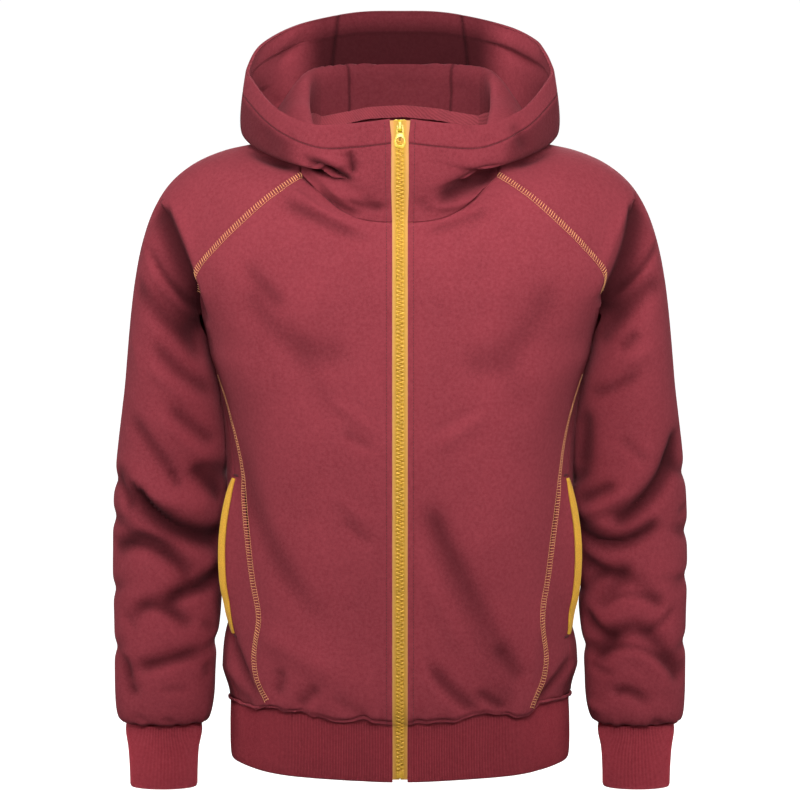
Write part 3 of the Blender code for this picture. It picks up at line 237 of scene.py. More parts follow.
# Smaller creases for the looks, written in the same way, which fade at their ends. A tenth number is how slowly,
# where that is not FADE.
FADE = 0.1
ARC_STEPS = 16  # the straight steps in which a fold is followed
CREASES = (
    # the hood's front
    ("hood", -1, (
        (-99, -2, -69, -17, -50, -25, 4.5, 5, -9), (-56, 5, -50, -6, -50, -20, 6, 4, -6),
        (-87, 2, -72, -5, -58, -12, 4, 4, 2.5, 0.05), (-54, -46, -33, -53, -13, -51, 5, 5, -3),
        (-99, -10, -77, -29, -56, -49, 5, 5, 3.5), (-45, -2, -45, -12, -50, -26, 5, 3, 3, 0.15),
        (-88, -33, -64, -52, -41, -59, 4, 5, -4.5), (-75, -32, -55, -43, -35, -46, 6, 5, 2, 0.05),
        (-37, -39, -29, -49, -17, -54, 5, 6, -2.2), (104, -15, 73, -30, 37, -46, 7, 10, -8.5, 0.12),
        (35, -49, 61, -50, 93, -33, 6, 5, 5), (18, -43, 25, -52, 35, -60, 5, 6, -2.5),
        (81, 15, 88, 16, 96, 20, 4, 4, -1.8), (64, 32, 71, 28, 80, 23, 4, 4, -1.8),
        (-118, 26, -113, 21, -107, 18, 4, 4, -1.8), (-147, 31, -137, 16, -128, 2, 9, 9, -2),
        (116, 33, 126, 21, 133, 4, 8, 8, -3.5),
    )),
    # the hood's inside and the fold round the neck
    ("rim", 1, (
        (-101, 131, -114, 115, -140, 94, 6, 12, 5, 0.05), (-111, 136, -127, 122, -151, 105, 8, 6, -3, 0.05),
        (97, 122, 127, 108, 164, 84, 5, 8, 3.5, 0.05), (89, 130, 124, 119, 164, 97, 6, 6, -3, 0.05),
        (105, 137, 138, 128, 162, 108, 6, 5, 3, 0.05), (-153, 70, -145, 59, -131, 48, 8, 8, 5, 0.15),
    )),
    ("crest", 1, (
        (72, 74, 60, 66, 47, 58, 7, 8, 2.5, 0.05), (-59, 77, -52, 68, -38, 60, 7, 8, 1.8, 0.05),
        (-22, 81, 11, 72, 35, 77, 7, 8, 1.5, 0.05),
    )),
    # the right sleeve
    ("both", -1, (
        (-242, -54, -221, -102, -202, -162, 7, 4, 3, 0.2), (-268, -90, -243, -134, -209, -168, 5, 3, -3.4),
    )),
    ("sleeve", -1, (
        (-268, -109, -246, -145, -207, -177, 3, 5, 2.6), (-267, -127, -233, -168, -205, -199, 10, 10, -2.5),
        (-288, -185, -279, -214, -271, -247, 4, 5, 1.5, 0.05), (-265, -194, -231, -228, -198, -258, 10, 9, -4),
        (-247, -262, -221, -288, -200, -309, 8, 8, -4), (-268, -221, -240, -245, -208, -270, 6, 6, 2.4),
        (-289, -275, -263, -309, -238, -339, 8, 9, -4), (-257, -270, -225, -309, -196, -335, 8, 7, 3.5),
        (-245, -333, -240, -343, -235, -355, 5, 6, -3.5), (-303, -348, -294, -365, -288, -379, 5, 5, -3.5, 0.15),
        (-275, -352, -258, -365, -237, -376, 6, 7, 3), (-279, -358, -247, -390, -199, -416, 3, 6, -3.5),
        (-297, -399, -267, -402, -239, -410, 8, 8, 3), (-306, -420, -271, -418, -231, -441, 3, 6, -3),
        (-246, -473, -225, -466, -195, -463, 4, 7, -4), (-286, -486, -259, -483, -224, -501, 4, 6, -3.5),
        (-299, -491, -290, -500, -282, -510, 4, 5, -2.5), (-211, -499, -205, -507, -197, -515, 5, 5, -3),
        (-279, -545, -249, -540, -218, -530, 4, 7, -3.5), (-306, -534, -295, -549, -297, -565, 5, 5, -3),
        (-209, -545, -206, -553, -207, -564, 6, 6, -3), (-256, -573, -241, -571, -226, -572, 6, 6, -2),
        (-284, -599, -278, -602, -273, -608, 4, 4, -2), (-292, -566, -289, -571, -285, -576, 4, 4, -2),
        (-253, -601, -247, -605, -241, -608, 4, 4, -2),
    )),
    # the left sleeve
    ("both", -1, (
        (241, -54, 220, -102, 208, -143, 4, 7, 3, 0.2), (273, -93, 256, -119, 220, -153, 3, 6, -3.5),
    )),
    ("sleeve", -1, (
        (217, -155, 211, -168, 205, -185, 8, 6, -1.6), (251, -185, 242, -196, 230, -206, 7, 7, -3),
        (265, -204, 250, -214, 236, -221, 7, 7, 2), (257, -227, 229, -244, 204, -257, 8, 8, -3),
        (232, -300, 249, -312, 264, -328, 6, 6, -2), (298, -296, 277, -343, 237, -387, 3, 6, -3.5),
        (198, -273, 201, -303, 197, -335, 10, 9, -5, 0.15), (232, -350, 213, -361, 194, -375, 7, 7, -4.5),
        (245, -355, 224, -372, 203, -385, 6, 6, 3), (194, -405, 229, -413, 272, -396, 4, 3, -3),
        (207, -394, 235, -397, 265, -383, 6, 6, 3), (197, -432, 220, -444, 244, -447, 4, 5, -3),
        (199, -460, 210, -452, 221, -446, 4, 5, -2.5), (221, -479, 248, -470, 281, -480, 4, 5, -3),
        (251, -456, 268, -464, 281, -476, 6, 6, 3), (259, -510, 281, -501, 296, -484, 5, 5, -3.5),
        (199, -486, 208, -505, 225, -514, 5, 5, -3.5), (208, -537, 253, -525, 298, -554, 4, 5, -3.5),
        (279, -524, 294, -534, 306, -548, 6, 6, 3), (204, -545, 216, -552, 230, -555, 4, 5, -3),
        (228, -576, 243, -573, 262, -582, 5, 5, -3), (312, -378, 307, -382, 302, -387, 5, 5, -3),
        (276, -457, 293, -454, 310, -459, 4, 4, -1.5), (201, -587, 210, -593, 219, -596, 6, 6, 3),
        (271, -607, 277, -608, 284, -610, 5, 5, -2.5),
    )),
    # where the hood rests on the shoulders
    ("sleeve", -1, (
        (-165, 13, -141, -2, -105, -11, 5, 6, -6), (164, 13, 147, 0, 113, -11, 5, 5, -5),
    )),
    ("body", -1, (
        (-108, -11, -98, -21, -85, -31, 4, 4, -4),
    )),
    # the body's front, from the neck down
    ("body", -1, (
        (-124, -44, -85, -63, -31, -87, 5, 9, -4), (-114, -35, -81, -56, -48, -71, 4, 4, 2.5),
        (-133, -28, -108, -48, -77, -63, 4, 4, -1.5), (26, -78, 60, -67, 95, -51, 4, 7, -3),
        (49, -97, 70, -78, 93, -55, 7, 7, -1.2, 0.05), (-165, -107, -141, -135, -114, -160, 9, 9, -3, 0.05),
        (-155, -133, -134, -162, -114, -189, 9, 9, 2, 0.05), (-108, -179, -90, -234, -53, -283, 16, 14, -1.7, 0.05),
        (-73, -252, -50, -266, -25, -289, 6, 6, 2, 0.05), (-61, -281, -45, -293, -25, -303, 5, 6, -2.2, 0.05),
        (-72, -351, -51, -364, -28, -387, 7, 7, 2, 0.05), (-61, -375, -45, -390, -28, -405, 6, 6, -2.2, 0.05),
        (-168, -281, -148, -388, -67, -500, 15, 15, -4, 0.05), (-153, -504, -109, -521, -67, -543, 13, 12, 3),
        (-129, -537, -127, -552, -133, -569, 7, 7, -4), (-84, -554, -96, -565, -108, -578, 8, 8, -4),
        (-74, -561, -53, -575, -30, -588, 8, 8, -2, 0.05), (-181, -519, -167, -545, -151, -578, 5, 6, -3.5),
        (-189, -485, -176, -526, -156, -561, 6, 7, -3), (-188, -536, -175, -562, -163, -576, 6, 6, 2),
        (29, -357, 65, -432, 125, -541, 11, 11, -3), (13, -404, 65, -504, 128, -572, 12, 12, 3.5),
        (29, -526, 55, -560, 84, -580, 9, 7, -5), (98, -260, 66, -283, 33, -306, 8, 8, 2.2, 0.05),
        (83, -256, 54, -273, 27, -287, 6, 6, -1.4, 0.05), (102, -205, 118, -235, 123, -277, 16, 16, -1.5, 0.05),
        (147, -583, 166, -559, 184, -538, 6, 7, -5), (80, -558, 95, -569, 112, -580, 6, 6, -4),
        (101, -509, 116, -529, 131, -552, 9, 9, -3.5), (153, -468, 143, -511, 138, -550, 10, 8, 2),
    )),
    # the body's back and sides, which the photograph doesn't show
    ("body", 1, (
        (-150, -90, -70, -120, 0, -96, 14, 12, -2, 0.05), (136, -96, 84, -140, 12, -128, 12, 12, -2, 0.05),
        (-60, -250, -20, -330, -34, -420, 20, 22, -2.5, 0.05), (92, -290, 50, -370, 64, -450, 20, 20, -2.5, 0.05),
        (-160, -380, -100, -440, -52, -470, 14, 14, -2, 0.05), (150, -420, 96, -490, 30, -530, 15, 15, -3, 0.05),
        (-40, -560, 10, -548, 66, -566, 9, 8, -3), (-150, -556, -112, -540, -72, -560, 9, 8, -3),
        (90, -568, 124, -552, 160, -566, 9, 8, -3),
    )),
    ("sleeve", 1, (
        (-236, -240, -262, -268, -296, -280, 9, 9, -2.5), (-206, -300, -240, -318, -290, -312, 8, 9, -3),
        (-290, -392, -256, -398, -208, -384, 8, 8, -3), (-292, -452, -262, -470, -222, -462, 8, 8, -3.5),
        (-284, -548, -258, -556, -226, -546, 7, 7, -3), (240, -232, 268, -262, 298, -272, 9, 9, -2.5),
        (210, -296, 246, -322, 292, -316, 8, 9, -3), (294, -388, 254, -400, 210, -392, 8, 8, -3),
        (214, -456, 256, -474, 296, -458, 8, 8, -3.5), (222, -544, 252, -558, 288, -548, 7, 7, -3),
    )),
    ("sleeve", -2, (
        (-40, -330, 0, -352, 40, -340, 10, 9, -3.5), (-44, -404, 4, -392, 44, -414, 9, 9, -3.5),
        (-40, -456, 0, -470, 36, -458, 8, 9, -3), (-46, -520, -14, -532, 24, -520, 8, 8, -3),
    )),
    ("sleeve", 2, (
        (-44, -320, 0, -344, 40, -330, 10, 9, -3.5), (-40, -396, 4, -408, 44, -396, 9, 9, -3.5),
        (-44, -468, 0, -456, 36, -472, 8, 9, -3), (-50, -540, -14, -526, 22, -540, 8, 8, -3),
    )),
    ("body", -2, (
        (-60, -470, -10, -500, 50, -540, 12, 12, -3),
    )),
    ("body", 2, (
        (-60, -480, -10, -506, 50, -530, 12, 12, -3),
    )),
    ("hood", 1, (
        (-90, 40, -60, -20, -20, -60, 14, 12, -4), (96, 30, 70, -24, 30, -66, 14, 12, -4),
        (-120, 80, -112, 30, -96, -8, 12, 10, -3), (124, 70, 112, 20, 90, -20, 12, 10, -3),
        (-30, 60, 4, 30, 42, 66, 16, 14, -2, 0.05),
    )),
)

HEM_PANELS = ("front_left", "side_front_left", "back", "side_front_right", "front_right")
HOOD_PANELS = ("hood_left", "hood_centre", "hood_right")
HEM_ROWS = (  # the hem rib's rows: (drop, inset, share of the rib's relief)
    (0, 0, 0.3), (1.5, 1.1, 0.6), (4, 1.3, 1), (8, 1.4, 1), (14, 1.2, 1), (22, 1.0, 1), (30, 1.0, 1), (38, 1.0, 1),
    (46, 1.1, 1), (53, 1.4, 1), (57.5, 1.8, 0.9), (60.3, 2.4, 0.6), (61.7, 3.2, 0.3), (62, 3.9, 0),
)
HEM_LONGER = 0.06  # the share by which the rib is longer in the middle of the front
HEM_FRONT = -60  # where y is below this, the rib stands straighter to the front
HEM_STEPS = (0.0, 0.03, 0.07, 0.13, 0.25, 0.42, 0.6, 0.78, 0.9, 0.955, 0.985, 1.0)  # rows of the hood's hem
HEM_WAVE, BACK_WAVE = 0.5, 2.2  # heights of the small waves in the hem's seam, and of those behind
WAVES_REACH, HEM_GATHERS, CUFF_GATHERS = 38, 20, 16  # how far up the waves and the gathers above the ribs go
HEM_LIFT = (  # how far the hem's seam rises over its even line at places across the front
    (-184, 5.3), (-179, 5.3), (-154, 5.8), (-145, 9), (-136, 10.6), (-128, 9.1), (-121, 5.8), (-113, 5.9),
    (-104, 8.5), (-97, 6.9), (-89, 3.8), (-79, 1.1), (-67, -2.8), (-57, -3.2), (-44, 0), (-34, -0.7), (-21, -3.6),
    (-12, -5.1), (9, -4.7), (18, -3.2), (31, -3.4), (51, -2.1), (64, 0), (76, 3.5), (89, 5.5), (102, 5.5),
    (114, 3.2), (123, 0.6), (132, 0), (141, 5.8), (150, 11.2), (162, 12.3), (171, 11), (181, 8.5),
)
SIDE_PULL = (  # (height over the hem's seam, how far the body's sides stand out there)
    (0, 0), (1.5, -2.6), (5, -6.4), (10, -6.6), (15, -5.6), (20, -4.0), (30, -0.4), (37, 1.8), (55, 1.6), (90, 0),
)
SIDE_BAND = (140, 168)  # between these distances from the middle the sides begin
ELBOW_PULL, ELBOW_TOP, ELBOW_FOOT = 4.4, (-212, -245), (-430, -385)  # the sleeve's inner side nearer to the body
HOOD_PARTS = {"hood": (-1, 2), "crest": (-1, 0.42), "rim": (0.55, 2)}  # shares of the way up the hood
HOOD_BELLY, HOOD_FLARE = 4.0, 1.8  # how far the hood's front stands out over the zip, and its corners aside
# How much darker the colour is painted, as painted shade: deep in a fold, in the upper arm's folds, in the grooves of
# the hem's stitches and of the hood's hem, inside the hood and on its outer sides. The last two are shares of the full
# colour: painted shade over the whole hood's outer side, and over the hem's rib, which the cuffs don't take.
FOLD_SHADE, ARM_SHADE, ARM_SHADE_HEIGHTS, COVER_SHADE, HEM_LINE_SHADE = 0.85, 0.4, (-470, -400), 0.35, 0.45
HOOD_INSIDE_SHADE, HOOD_FLANK_SHADE, HOOD_SHADE, HEM_RIB_SHADE = 0.8, 0.45, 0.9, 0.66
RIB_PITCH, RIB_RELIEF = 1.75, 0.55
THREAD_SIDES, THREAD_RADIUS, FLATLOCK_PITCH = 5, 0.42, 3.0
# The stitches of a line: (pitch, the share of it that shows, height over the cloth, bow).
COVER_STITCH, PLAIN_STITCH = (2.6, 0.82, 0.1, 0.35), (3.1, 0.74, -0.05, 0.4)
RAGLAN_THREAD, PRINCESS_THREAD, PLAIN_THREAD, BARTACK_THREAD = 0.3, 0.26, 0.3, 0.4  # radii
# The flatlocks' half widths, and their lines' distances from the seam, below 0 on the near side. The princess
# seam's is narrower between these shares of its length, and its lines come nearer: (distance, its sign).
RAGLAN_HALF, RAGLAN_LINE, PRINCESS_HALF, PRINCESS_LINES = 3.0, -3.9, 2.9, ((-3.6, -1), (3.5, 1))
NARROWER, NARROWING = 1.3, (0.45, 0.9)
BARTACK_PLACES, BARTACK_HALF = (0.8, 11.0, 0.62), 1.3
RAGLAN_FOOT, PRINCESS_STITCHES = -146.0, -232.0  # heights at which the stitches stop
FLEECE, RIB_COLOUR = (0.2, 0.0285, 0.039), (0.40, 0.05, 0.068)
PLAIN_MATERIALS = (  # name, colour, roughness, sheen, scale and depth of the grain
    ("zip_plastic", (0.54, 0.30, 0.022), 0.45, 0.0, 700, 0.0001),
    ("slider_plastic", (0.56, 0.41, 0.022), 0.34, 0.0, 500, 0.0001),
    ("pocket_trim", (0.56, 0.29, 0.02), 0.8, 0.1, 900, 0.0004),
    ("thread", (0.71, 0.31, 0.12), 0.6, 0.1, 1200, 0.0002),
    # near black: the thread's dark tone together with painted shade of the stitch grooves
    ("thread_dark", (0.07, 0.008, 0.012), 0.85, 0.0, 1200, 0.0002),
)
GREYS = ((0.0, (0, 0, 0)), (1.0, (1, 1, 1)))
CAMERA_AWAY, CAMERA_TILT, CAMERA_AIM, CAMERA_LENS = 3.2, math.radians(6), -0.265, 133.33
FLOOR_HALF, FLOOR_LEVEL, FLOOR_COLOUR, FLOOR_FADE = 40.0, -1.05, (0.5, 0.5, 0.5, 1), (0.9, 2.1)
SKY, GROUND = (0.15, 0.15, 0.15), (0.085, 0.085, 0.085)
LIGHTS = (  # soft boxes: place, target, size, power and spread in degrees
    ("key", (0.04, -1.65, 0.75), (0, 0, 0.1), 1.1, 12.8, 80), ("left", (-2.7, -0.6, 0.6), (0, 0, -0.25), 1.4, 39, 180),
    ("right", (2.7, -0.8, 0.6), (0, 0, -0.25), 1.4, 28.5, 180), ("back", (0.4, 2.6, 1.0), (0, 0, -0.25), 1.4, 32, 120),
)
ZIP_PIVOT, ZIP_TILT = (0.0, -108.277, 31.254), -0.1419  # the pull's hinge, and how far the slider leans back
# Right halves of outlines, from top to bottom, in the slider's and the pull's own frames.
SLIDER_OUTLINE = (
    (0, 6.4), (1.2, 7.3), (2.6, 8.3), (4.6, 8.5), (6.3, 7.9), (7.25, 6.0), (7.25, 3.2), (6.7, 0.5), (6.1, -3.0),
    (5.6, -6.6), (4.7, -8.2), (2.4, -8.5), (0, -8.5),
)
LOOP_OUTLINE = ((0, 0.9), (3.0, 0.9), (3.9, 0.2), (4.1, -3.0), (4.1, -8.2), (0, -8.6))
LOOP_WINDOW = ((0, -0.9), (1.9, -0.9), (2.2, -1.3), (2.2, -6.9), (1.9, -7.3), (0, -7.3))
TAB_OUTLINE = (
    (0, -7.4), (4.0, -7.4), (4.35, -9.0), (4.8, -11.6), (5.5, -13.6), (6.1, -15.6), (6.25, -17.4), (5.9, -19.6),
    (4.9, -21.6), (3.2, -22.8), (0, -23.1),
)


def smooth(knots, values, at):
    """A curve through the values at the knots, with the slopes of a Catmull-Rom spline."""
    knots, values, at = np.asarray(knots, float), np.asarray(values, float), np.asarray(at, float)
    steps = np.diff(knots)
    chords = np.diff(values) / steps
    slopes = np.empty_like(values)
    slopes[0], slopes[-1] = chords[0], chords[-1]
    slopes[1:-1] = (chords[:-1] * steps[1:] + chords[1:] * steps[:-1]) / (steps[:-1] + steps[1:])
    i = np.clip(np.searchsorted(knots, at, side="right") - 1, 0, len(steps) - 1)
    t = (at - knots[i]) / steps[i]
    h = steps[i]
    return (
        (2 * t**3 - 3 * t**2 + 1) * values[i]
        + (t**3 - 2 * t**2 + t) * h * slopes[i]
        + (3 * t**2 - 2 * t**3) * values[i + 1]
        + (t**3 - t**2) * h * slopes[i + 1]
    )


def read(table, names, at):
    """Each column of a table but the first, read at places along the first."""
    knots, *columns = np.array(table, float).T
    return {name: smooth(knots, values, at) for name, values in zip(names[1:], columns)}


def unit(vectors):
    return vectors / np.maximum(np.linalg.norm(vectors, axis=-1, keepdims=True), 1e-9)


def ramp(low, high, value):
    t = np.clip((value - low) / (high - low), 0, 1)
    return t * t * (3 - 2 * t)


def bell(value, width):
    """1 at 0, falling off to both sides over the width."""
    return np.exp(-((value / width) ** 2))


def relief(distance, grooves):
    """The height at a distance from an edge of the grooves and ridges beside it."""
    return sum(height * bell(distance - at, width) for at, height, width in grooves)


def runs(points):
    """The length along a polyline at each of its points."""
    return np.concatenate([[0], np.cumsum(np.linalg.norm(np.diff(points, axis=0), axis=1))])


def sampled(values, run, places):
    """Values given for the points of a run, read at places along it."""
    return np.stack([np.interp(places, run, values[:, k]) for k in range(3)], axis=1)


def at_length(points, lengths):
    return sampled(points, runs(points), lengths)


def along(points, shares):
    return at_length(points, np.asarray(shares) * runs(points)[-1])


def chained(rows):
    """Rows that share their ends, as one row."""
    return np.concatenate([rows[0], *(row[1:] for row in rows[1:])])


def spot(at, part, i):
    """The point of a table's _x, _y and _z columns in one row."""
    return np.array([at[part + axis][i] for axis in ("_x", "_y", "_z")])


def bezier(p0, p1, p2, p3, count=97):
    t = np.linspace(0, 1, count)[:, None]
    return (1 - t) ** 3 * p0 + 3 * (1 - t) ** 2 * t * p1 + 3 * (1 - t) * t**2 * p2 + t**3 * p3


def spaced(length, count):
    """Shares of a row of this length for count + 1 points, closer together beside both ends."""
    scale = min(1.0, length / 60)
    ends = np.array(EDGE_STEPS) * scale / max(length, 1e-6)
    inner = np.linspace(ends[-1], 1 - ends[-1], count + 3 - 2 * len(ends))
    return np.concatenate([ends[:-1], inner, 1 - ends[:-1][::-1]])


# ---------------------------------------------------------------- the surfaces


def body_row(start, end, turn, rise, full, back):
    """A row from the middle of the body to the side or the raglan seam, as a fine polyline."""
    across, ahead = math.cos(math.radians(turn)), math.sin(math.radians(turn))
    heading = unit(np.array([across, -ahead if back else ahead, rise]))
    chord = end - start
    first = start + np.array([full * abs(chord[0]), 0, 0])
    deep = abs(chord[1] / heading[1])
    pull = full * deep if turn >= 90 else min(full * abs(chord @ heading), 0.82 * deep)
    return bezier(start, first, end - heading * pull, end)


def body_rows(levels):
    """For each level, the fine polylines of the front row and the back row, both from the middle outwards."""
    at = read(BODY, BODY_COLUMNS, levels)

    def row(i, part, middle):
        start = np.array([middle, at["c" + part + "_y"][i], at["c" + part + "_z"][i]])
        turn, rise = at[part + "_turn"][i], at[part + "_rise"][i]
        return body_row(start, spot(at, part, i), turn, rise, at["full"][i], part == "b")

    return [(row(i, "f", ZIP_HALF), row(i, "b", 0)) for i in range(len(levels))]


def princess_share(row, level):
    """Where the princess seam crosses a front row, as a share of the row's length."""
    if level >= PRINCESS_TOP:
        return 1.0
    knots, values = np.array(PRINCESS, float).T
    run = runs(row)
    beyond = row[:, 0] - smooth(knots, values, np.clip(row[:, 2], knots[0], knots[-1]))
    i = int(np.argmax(beyond > 0))
    t = -beyond[i - 1] / (beyond[i] - beyond[i - 1])
    return float((run[i - 1] + t * (run[i] - run[i - 1])) / run[-1])


def seam_planes(levels, step=0.02):
    """Normals of the body's surface at the front and back raglan seams."""
    here, above = body_rows(levels), body_rows(np.minimum(levels + step, 9))
    below = body_rows(levels - step)
    found = []
    for side, sign in ((0, 1), (1, -1)):
        across = np.array([r[side][-1] - r[side][-3] for r in here]) * sign
        up = np.array([a[side][-1] - b[side][-1] for a, b in zip(above, below)])
        found.append(unit(np.cross(across, up)))
    return found


def arm_ring(x, y, z, half_width, half_depth, shares):
    """A level ring round the arm, from its inner side over the front and the outside to the back and round."""
    outside, inside = np.array([x + half_width, y, z]), np.array([x - half_width, y, z])
    pull = np.array([0, half_depth * 4 / 3, 0])
    front, back = (along(bezier(inside, inside + p, outside + p, outside), shares) for p in (-pull, pull))
    return chained([front, back[::-1]])


def sleeve_grid(levels, shares):
    """The left sleeve: each row runs from the inner or front seam round the outside to the back."""
    shoulder = levels[levels >= 0]
    arm = read(SLEEVE, SLEEVE_COLUMNS, levels[levels < 0])
    rows = [arm_ring(*ring, shares) for ring in zip(*arm.values())]
    at = read(SHOULDER, SHOULDER_COLUMNS, shoulder)
    body = read(BODY, BODY_COLUMNS, shoulder)
    planes = seam_planes(shoulder)
    for i in range(len(shoulder)):
        ridge = np.array([at["x"][i], at["y"][i], at["z"][i]])
        weight = min(max(at["smooth"][i], 0), 1)
        halves = []
        for side, sign, part in ((0, -1, "f"), (1, 1, "b")):
            seam = spot(body, part, i)
            angle = math.radians(at[part + "_angle"][i])
            own = np.array([math.cos(angle), math.sin(angle), 0])
            chord, normal = ridge - seam, planes[side][i]
            carried = unit(chord - (chord @ normal) * normal)
            heading = unit(own * (1 - weight) + carried * weight) * at["seam_handle"][i]
            pull = unit(np.array([0, sign, sign * at["rise"][i]])) * at["ridge_handle"][i]
            halves.append(along(bezier(seam, seam + heading, ridge + pull, ridge), shares))
        rows.append(chained([halves[0], halves[1][::-1]]))
    return np.array(rows)


def b_spline_weights(n, places, degree=3):
    """The share of each of n control points in a clamped B-spline at places from 0 to 1."""
    knots = np.concatenate([[0] * degree, np.linspace(0, 1, n - degree + 1), [1] * degree])
    weights = np.array([(low <= places) & (places < high) for low, high in zip(knots[:-1], knots[1:])], float).T
    weights[places >= 1, n - 1] = 1
    for d in range(1, degree + 1):
        new = np.zeros_like(weights)
        for i in range(len(knots) - 1 - d):
            if knots[i + d] > knots[i]:
                new[:, i] += (places - knots[i]) / (knots[i + d] - knots[i]) * weights[:, i]
            if knots[i + d + 1] > knots[i + 1]:
                new[:, i] += (knots[i + d + 1] - places) / (knots[i + d + 1] - knots[i + 1]) * weights[:, i + 1]
        weights = new
    return weights[:, :n]


def hood_grid(neck, rows):
    """The left half of the hood on a row of neck points: one column of points over each of them."""
    run = runs(neck)
    places = run / run[-1]
    beyond = tuple(  # the last row but one once more, beyond the centre back
        2 - value if name == "place" else -value if name.endswith("_x") else value
        for name, value in zip(HOOD_COLUMNS, HOOD[-2])
    )
    at = read((*HOOD, beyond), HOOD_COLUMNS, places)
    weights = b_spline_weights(9, np.linspace(0, 1, 257))
    columns = []
    for i, seam in enumerate(neck):
        crest, low, rim = (spot(at, part, i) for part in ("crest", "low", "rim"))
        out = unit(np.array([low[0], low[1] + 10, 0]))
        crest_in, crest_out = crest - out * at["crest_half"][i], crest + out * at["crest_half"][i]
        low_in, low_out = low - out * at["low_half"][i], low + out * at["low_half"][i]
        fine = weights @ np.array([
            seam, seam * 0.5 + crest_in * 0.5, crest_in, crest_out, crest_out * 0.5 + low_in * 0.5,
            low_in, low_out, low_out * 0.45 + rim * 0.55 + out * at["belly"][i], rim,
        ])
        length = runs(fine)[-1]
        hem = HOOD_HEM_DEPTH / length
        before = spaced(length * (1 - hem), rows - len(HEM_STEPS)) * (1 - hem)
        columns.append(along(fine, np.concatenate([before, 1 - hem + np.array(HEM_STEPS) * hem])))
    return np.array(columns).transpose(1, 0, 2), places


def mirrored(grid):
    """The same grid on the other side, with its columns turned round so that it still faces out."""
    return grid[:, ::-1] * FLIP


def doubled(half):
    """A left half and its mirrored other half, as one grid."""
    return np.concatenate([half, mirrored(half)[:, 1:]], axis=1)


HANDS = (("left", np.copy), ("right", mirrored))  # the way from the left half to each half, and back


def on_hand(side, points, faces):
    """A shape made on the left, on this side."""
    return points * (FLIP if side == "right" else 1), faces


def ids_of(points):
    """A number for each point, the same for points that coincide."""
    _, first, ids = np.unique(np.round(points, 2) + 0.0, axis=0, return_index=True, return_inverse=True)
    return first, ids.reshape(-1)


def corner_ids(index):
    """The four corners of each quad of a grid of numbers."""
    return np.stack([index[:-1, :-1], index[:-1, 1:], index[1:, 1:], index[1:, :-1]], axis=-1).reshape(-1, 4)


def shared_normals(patches):
    """Smooth normals for every patch, the same on both sides of a seam unless the cloth folds sharply there."""
    points = np.concatenate([grid.reshape(-1, 3) for grid in patches.values()])
    first, ids = ids_of(points)
    total, own, start = np.zeros((len(first), 3)), {}, 0
    for name, grid in patches.items():
        count = grid.shape[0] * grid.shape[1]
        index = ids[start : start + count].reshape(grid.shape[:2])
        start += count
        normals = np.cross(
            (grid[1:, 1:] - grid[:-1, :-1]).reshape(-1, 3), (grid[1:, :-1] - grid[:-1, 1:]).reshape(-1, 3)
        )
        alone = np.zeros_like(total)
        for corner in corner_ids(index).T:
            np.add.at(alone, corner, normals)
        total += alone
        own[name] = (index, alone)
    found = {}
    for name, (index, alone) in own.items():
        both, one = unit(total[index]), unit(alone[index])
        agree = (both * one).sum(axis=-1, keepdims=True) > 0.4
        found[name] = np.where(agree, both, one)
    return found


def mesh_object(name, points, faces, slot, body="garment", sharp=50, values=None):
    """An object from points in millimetres, in the body's motion and with the slot's material."""
    mesh = bpy.data.meshes.new(name)
    mesh.from_pydata((np.asarray(points) * MM).tolist(), [], faces)
    mesh.shade_smooth()
    mesh.set_sharp_from_angle(angle=math.radians(sharp))
    for key, amounts in (values or {}).items():
        mesh.attributes.new(key, "FLOAT", "POINT").data.foreach_set("value", np.asarray(amounts, np.float32))
    mesh.materials.append(MATERIALS[slot])
    made = bpy.data.objects.new(name + "_looks", mesh)
    bpy.context.scene.collection.objects.link(made)
    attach(made, body)
    return made


def wall(name, outer, inner, slot, values=None):
    """The sheet of cloth that stands for a CAD node: closed, between an outer and an inner grid of points.

    Points that coincide are one. values are named numbers for the outer and for the inner points.
    """
    flat, under = outer.reshape(-1, 3), inner.reshape(-1, 3)
    first, ids = ids_of(flat)
    quads = corner_ids(ids.reshape(outer.shape[:2]))
    distinct = np.array([len(set(q)) for q in quads.tolist()])
    whole = quads[distinct == 4].tolist() + [list(dict.fromkeys(q)) for q in quads[distinct == 3].tolist()]
    count = len(first)
    faces = whole + [[k + count for k in face[::-1]] for face in whole]
    edges = {(a, b) for face in whole for a, b in zip(face, face[1:] + face[:1])}
    faces += [[b, a, a + count, b + count] for a, b in edges if (b, a) not in edges]
    kept = {
        key: np.concatenate([np.asarray(side).reshape(-1)[first] for side in sides])
        for key, sides in (values or {}).items()
    }
    made = mesh_object(name, np.concatenate([flat[first], under[first]]), faces, slot, values=kept)
    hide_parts(name)


def reach(grid):
    """Each point's distance to the grid's four borders, along its row or its column."""
    across = np.zeros(grid.shape[:2])
    across[:, 1:] = np.cumsum(np.linalg.norm(np.diff(grid, axis=1), axis=-1), axis=1)
    up = np.zeros(grid.shape[:2])
    up[1:] = np.cumsum(np.linalg.norm(np.diff(grid, axis=0), axis=-1), axis=0)
    return {"first": across, "last": across[:, -1:] - across, "low": up, "high": up[-1:] - up}


# ---------------------------------------------------------------- folds


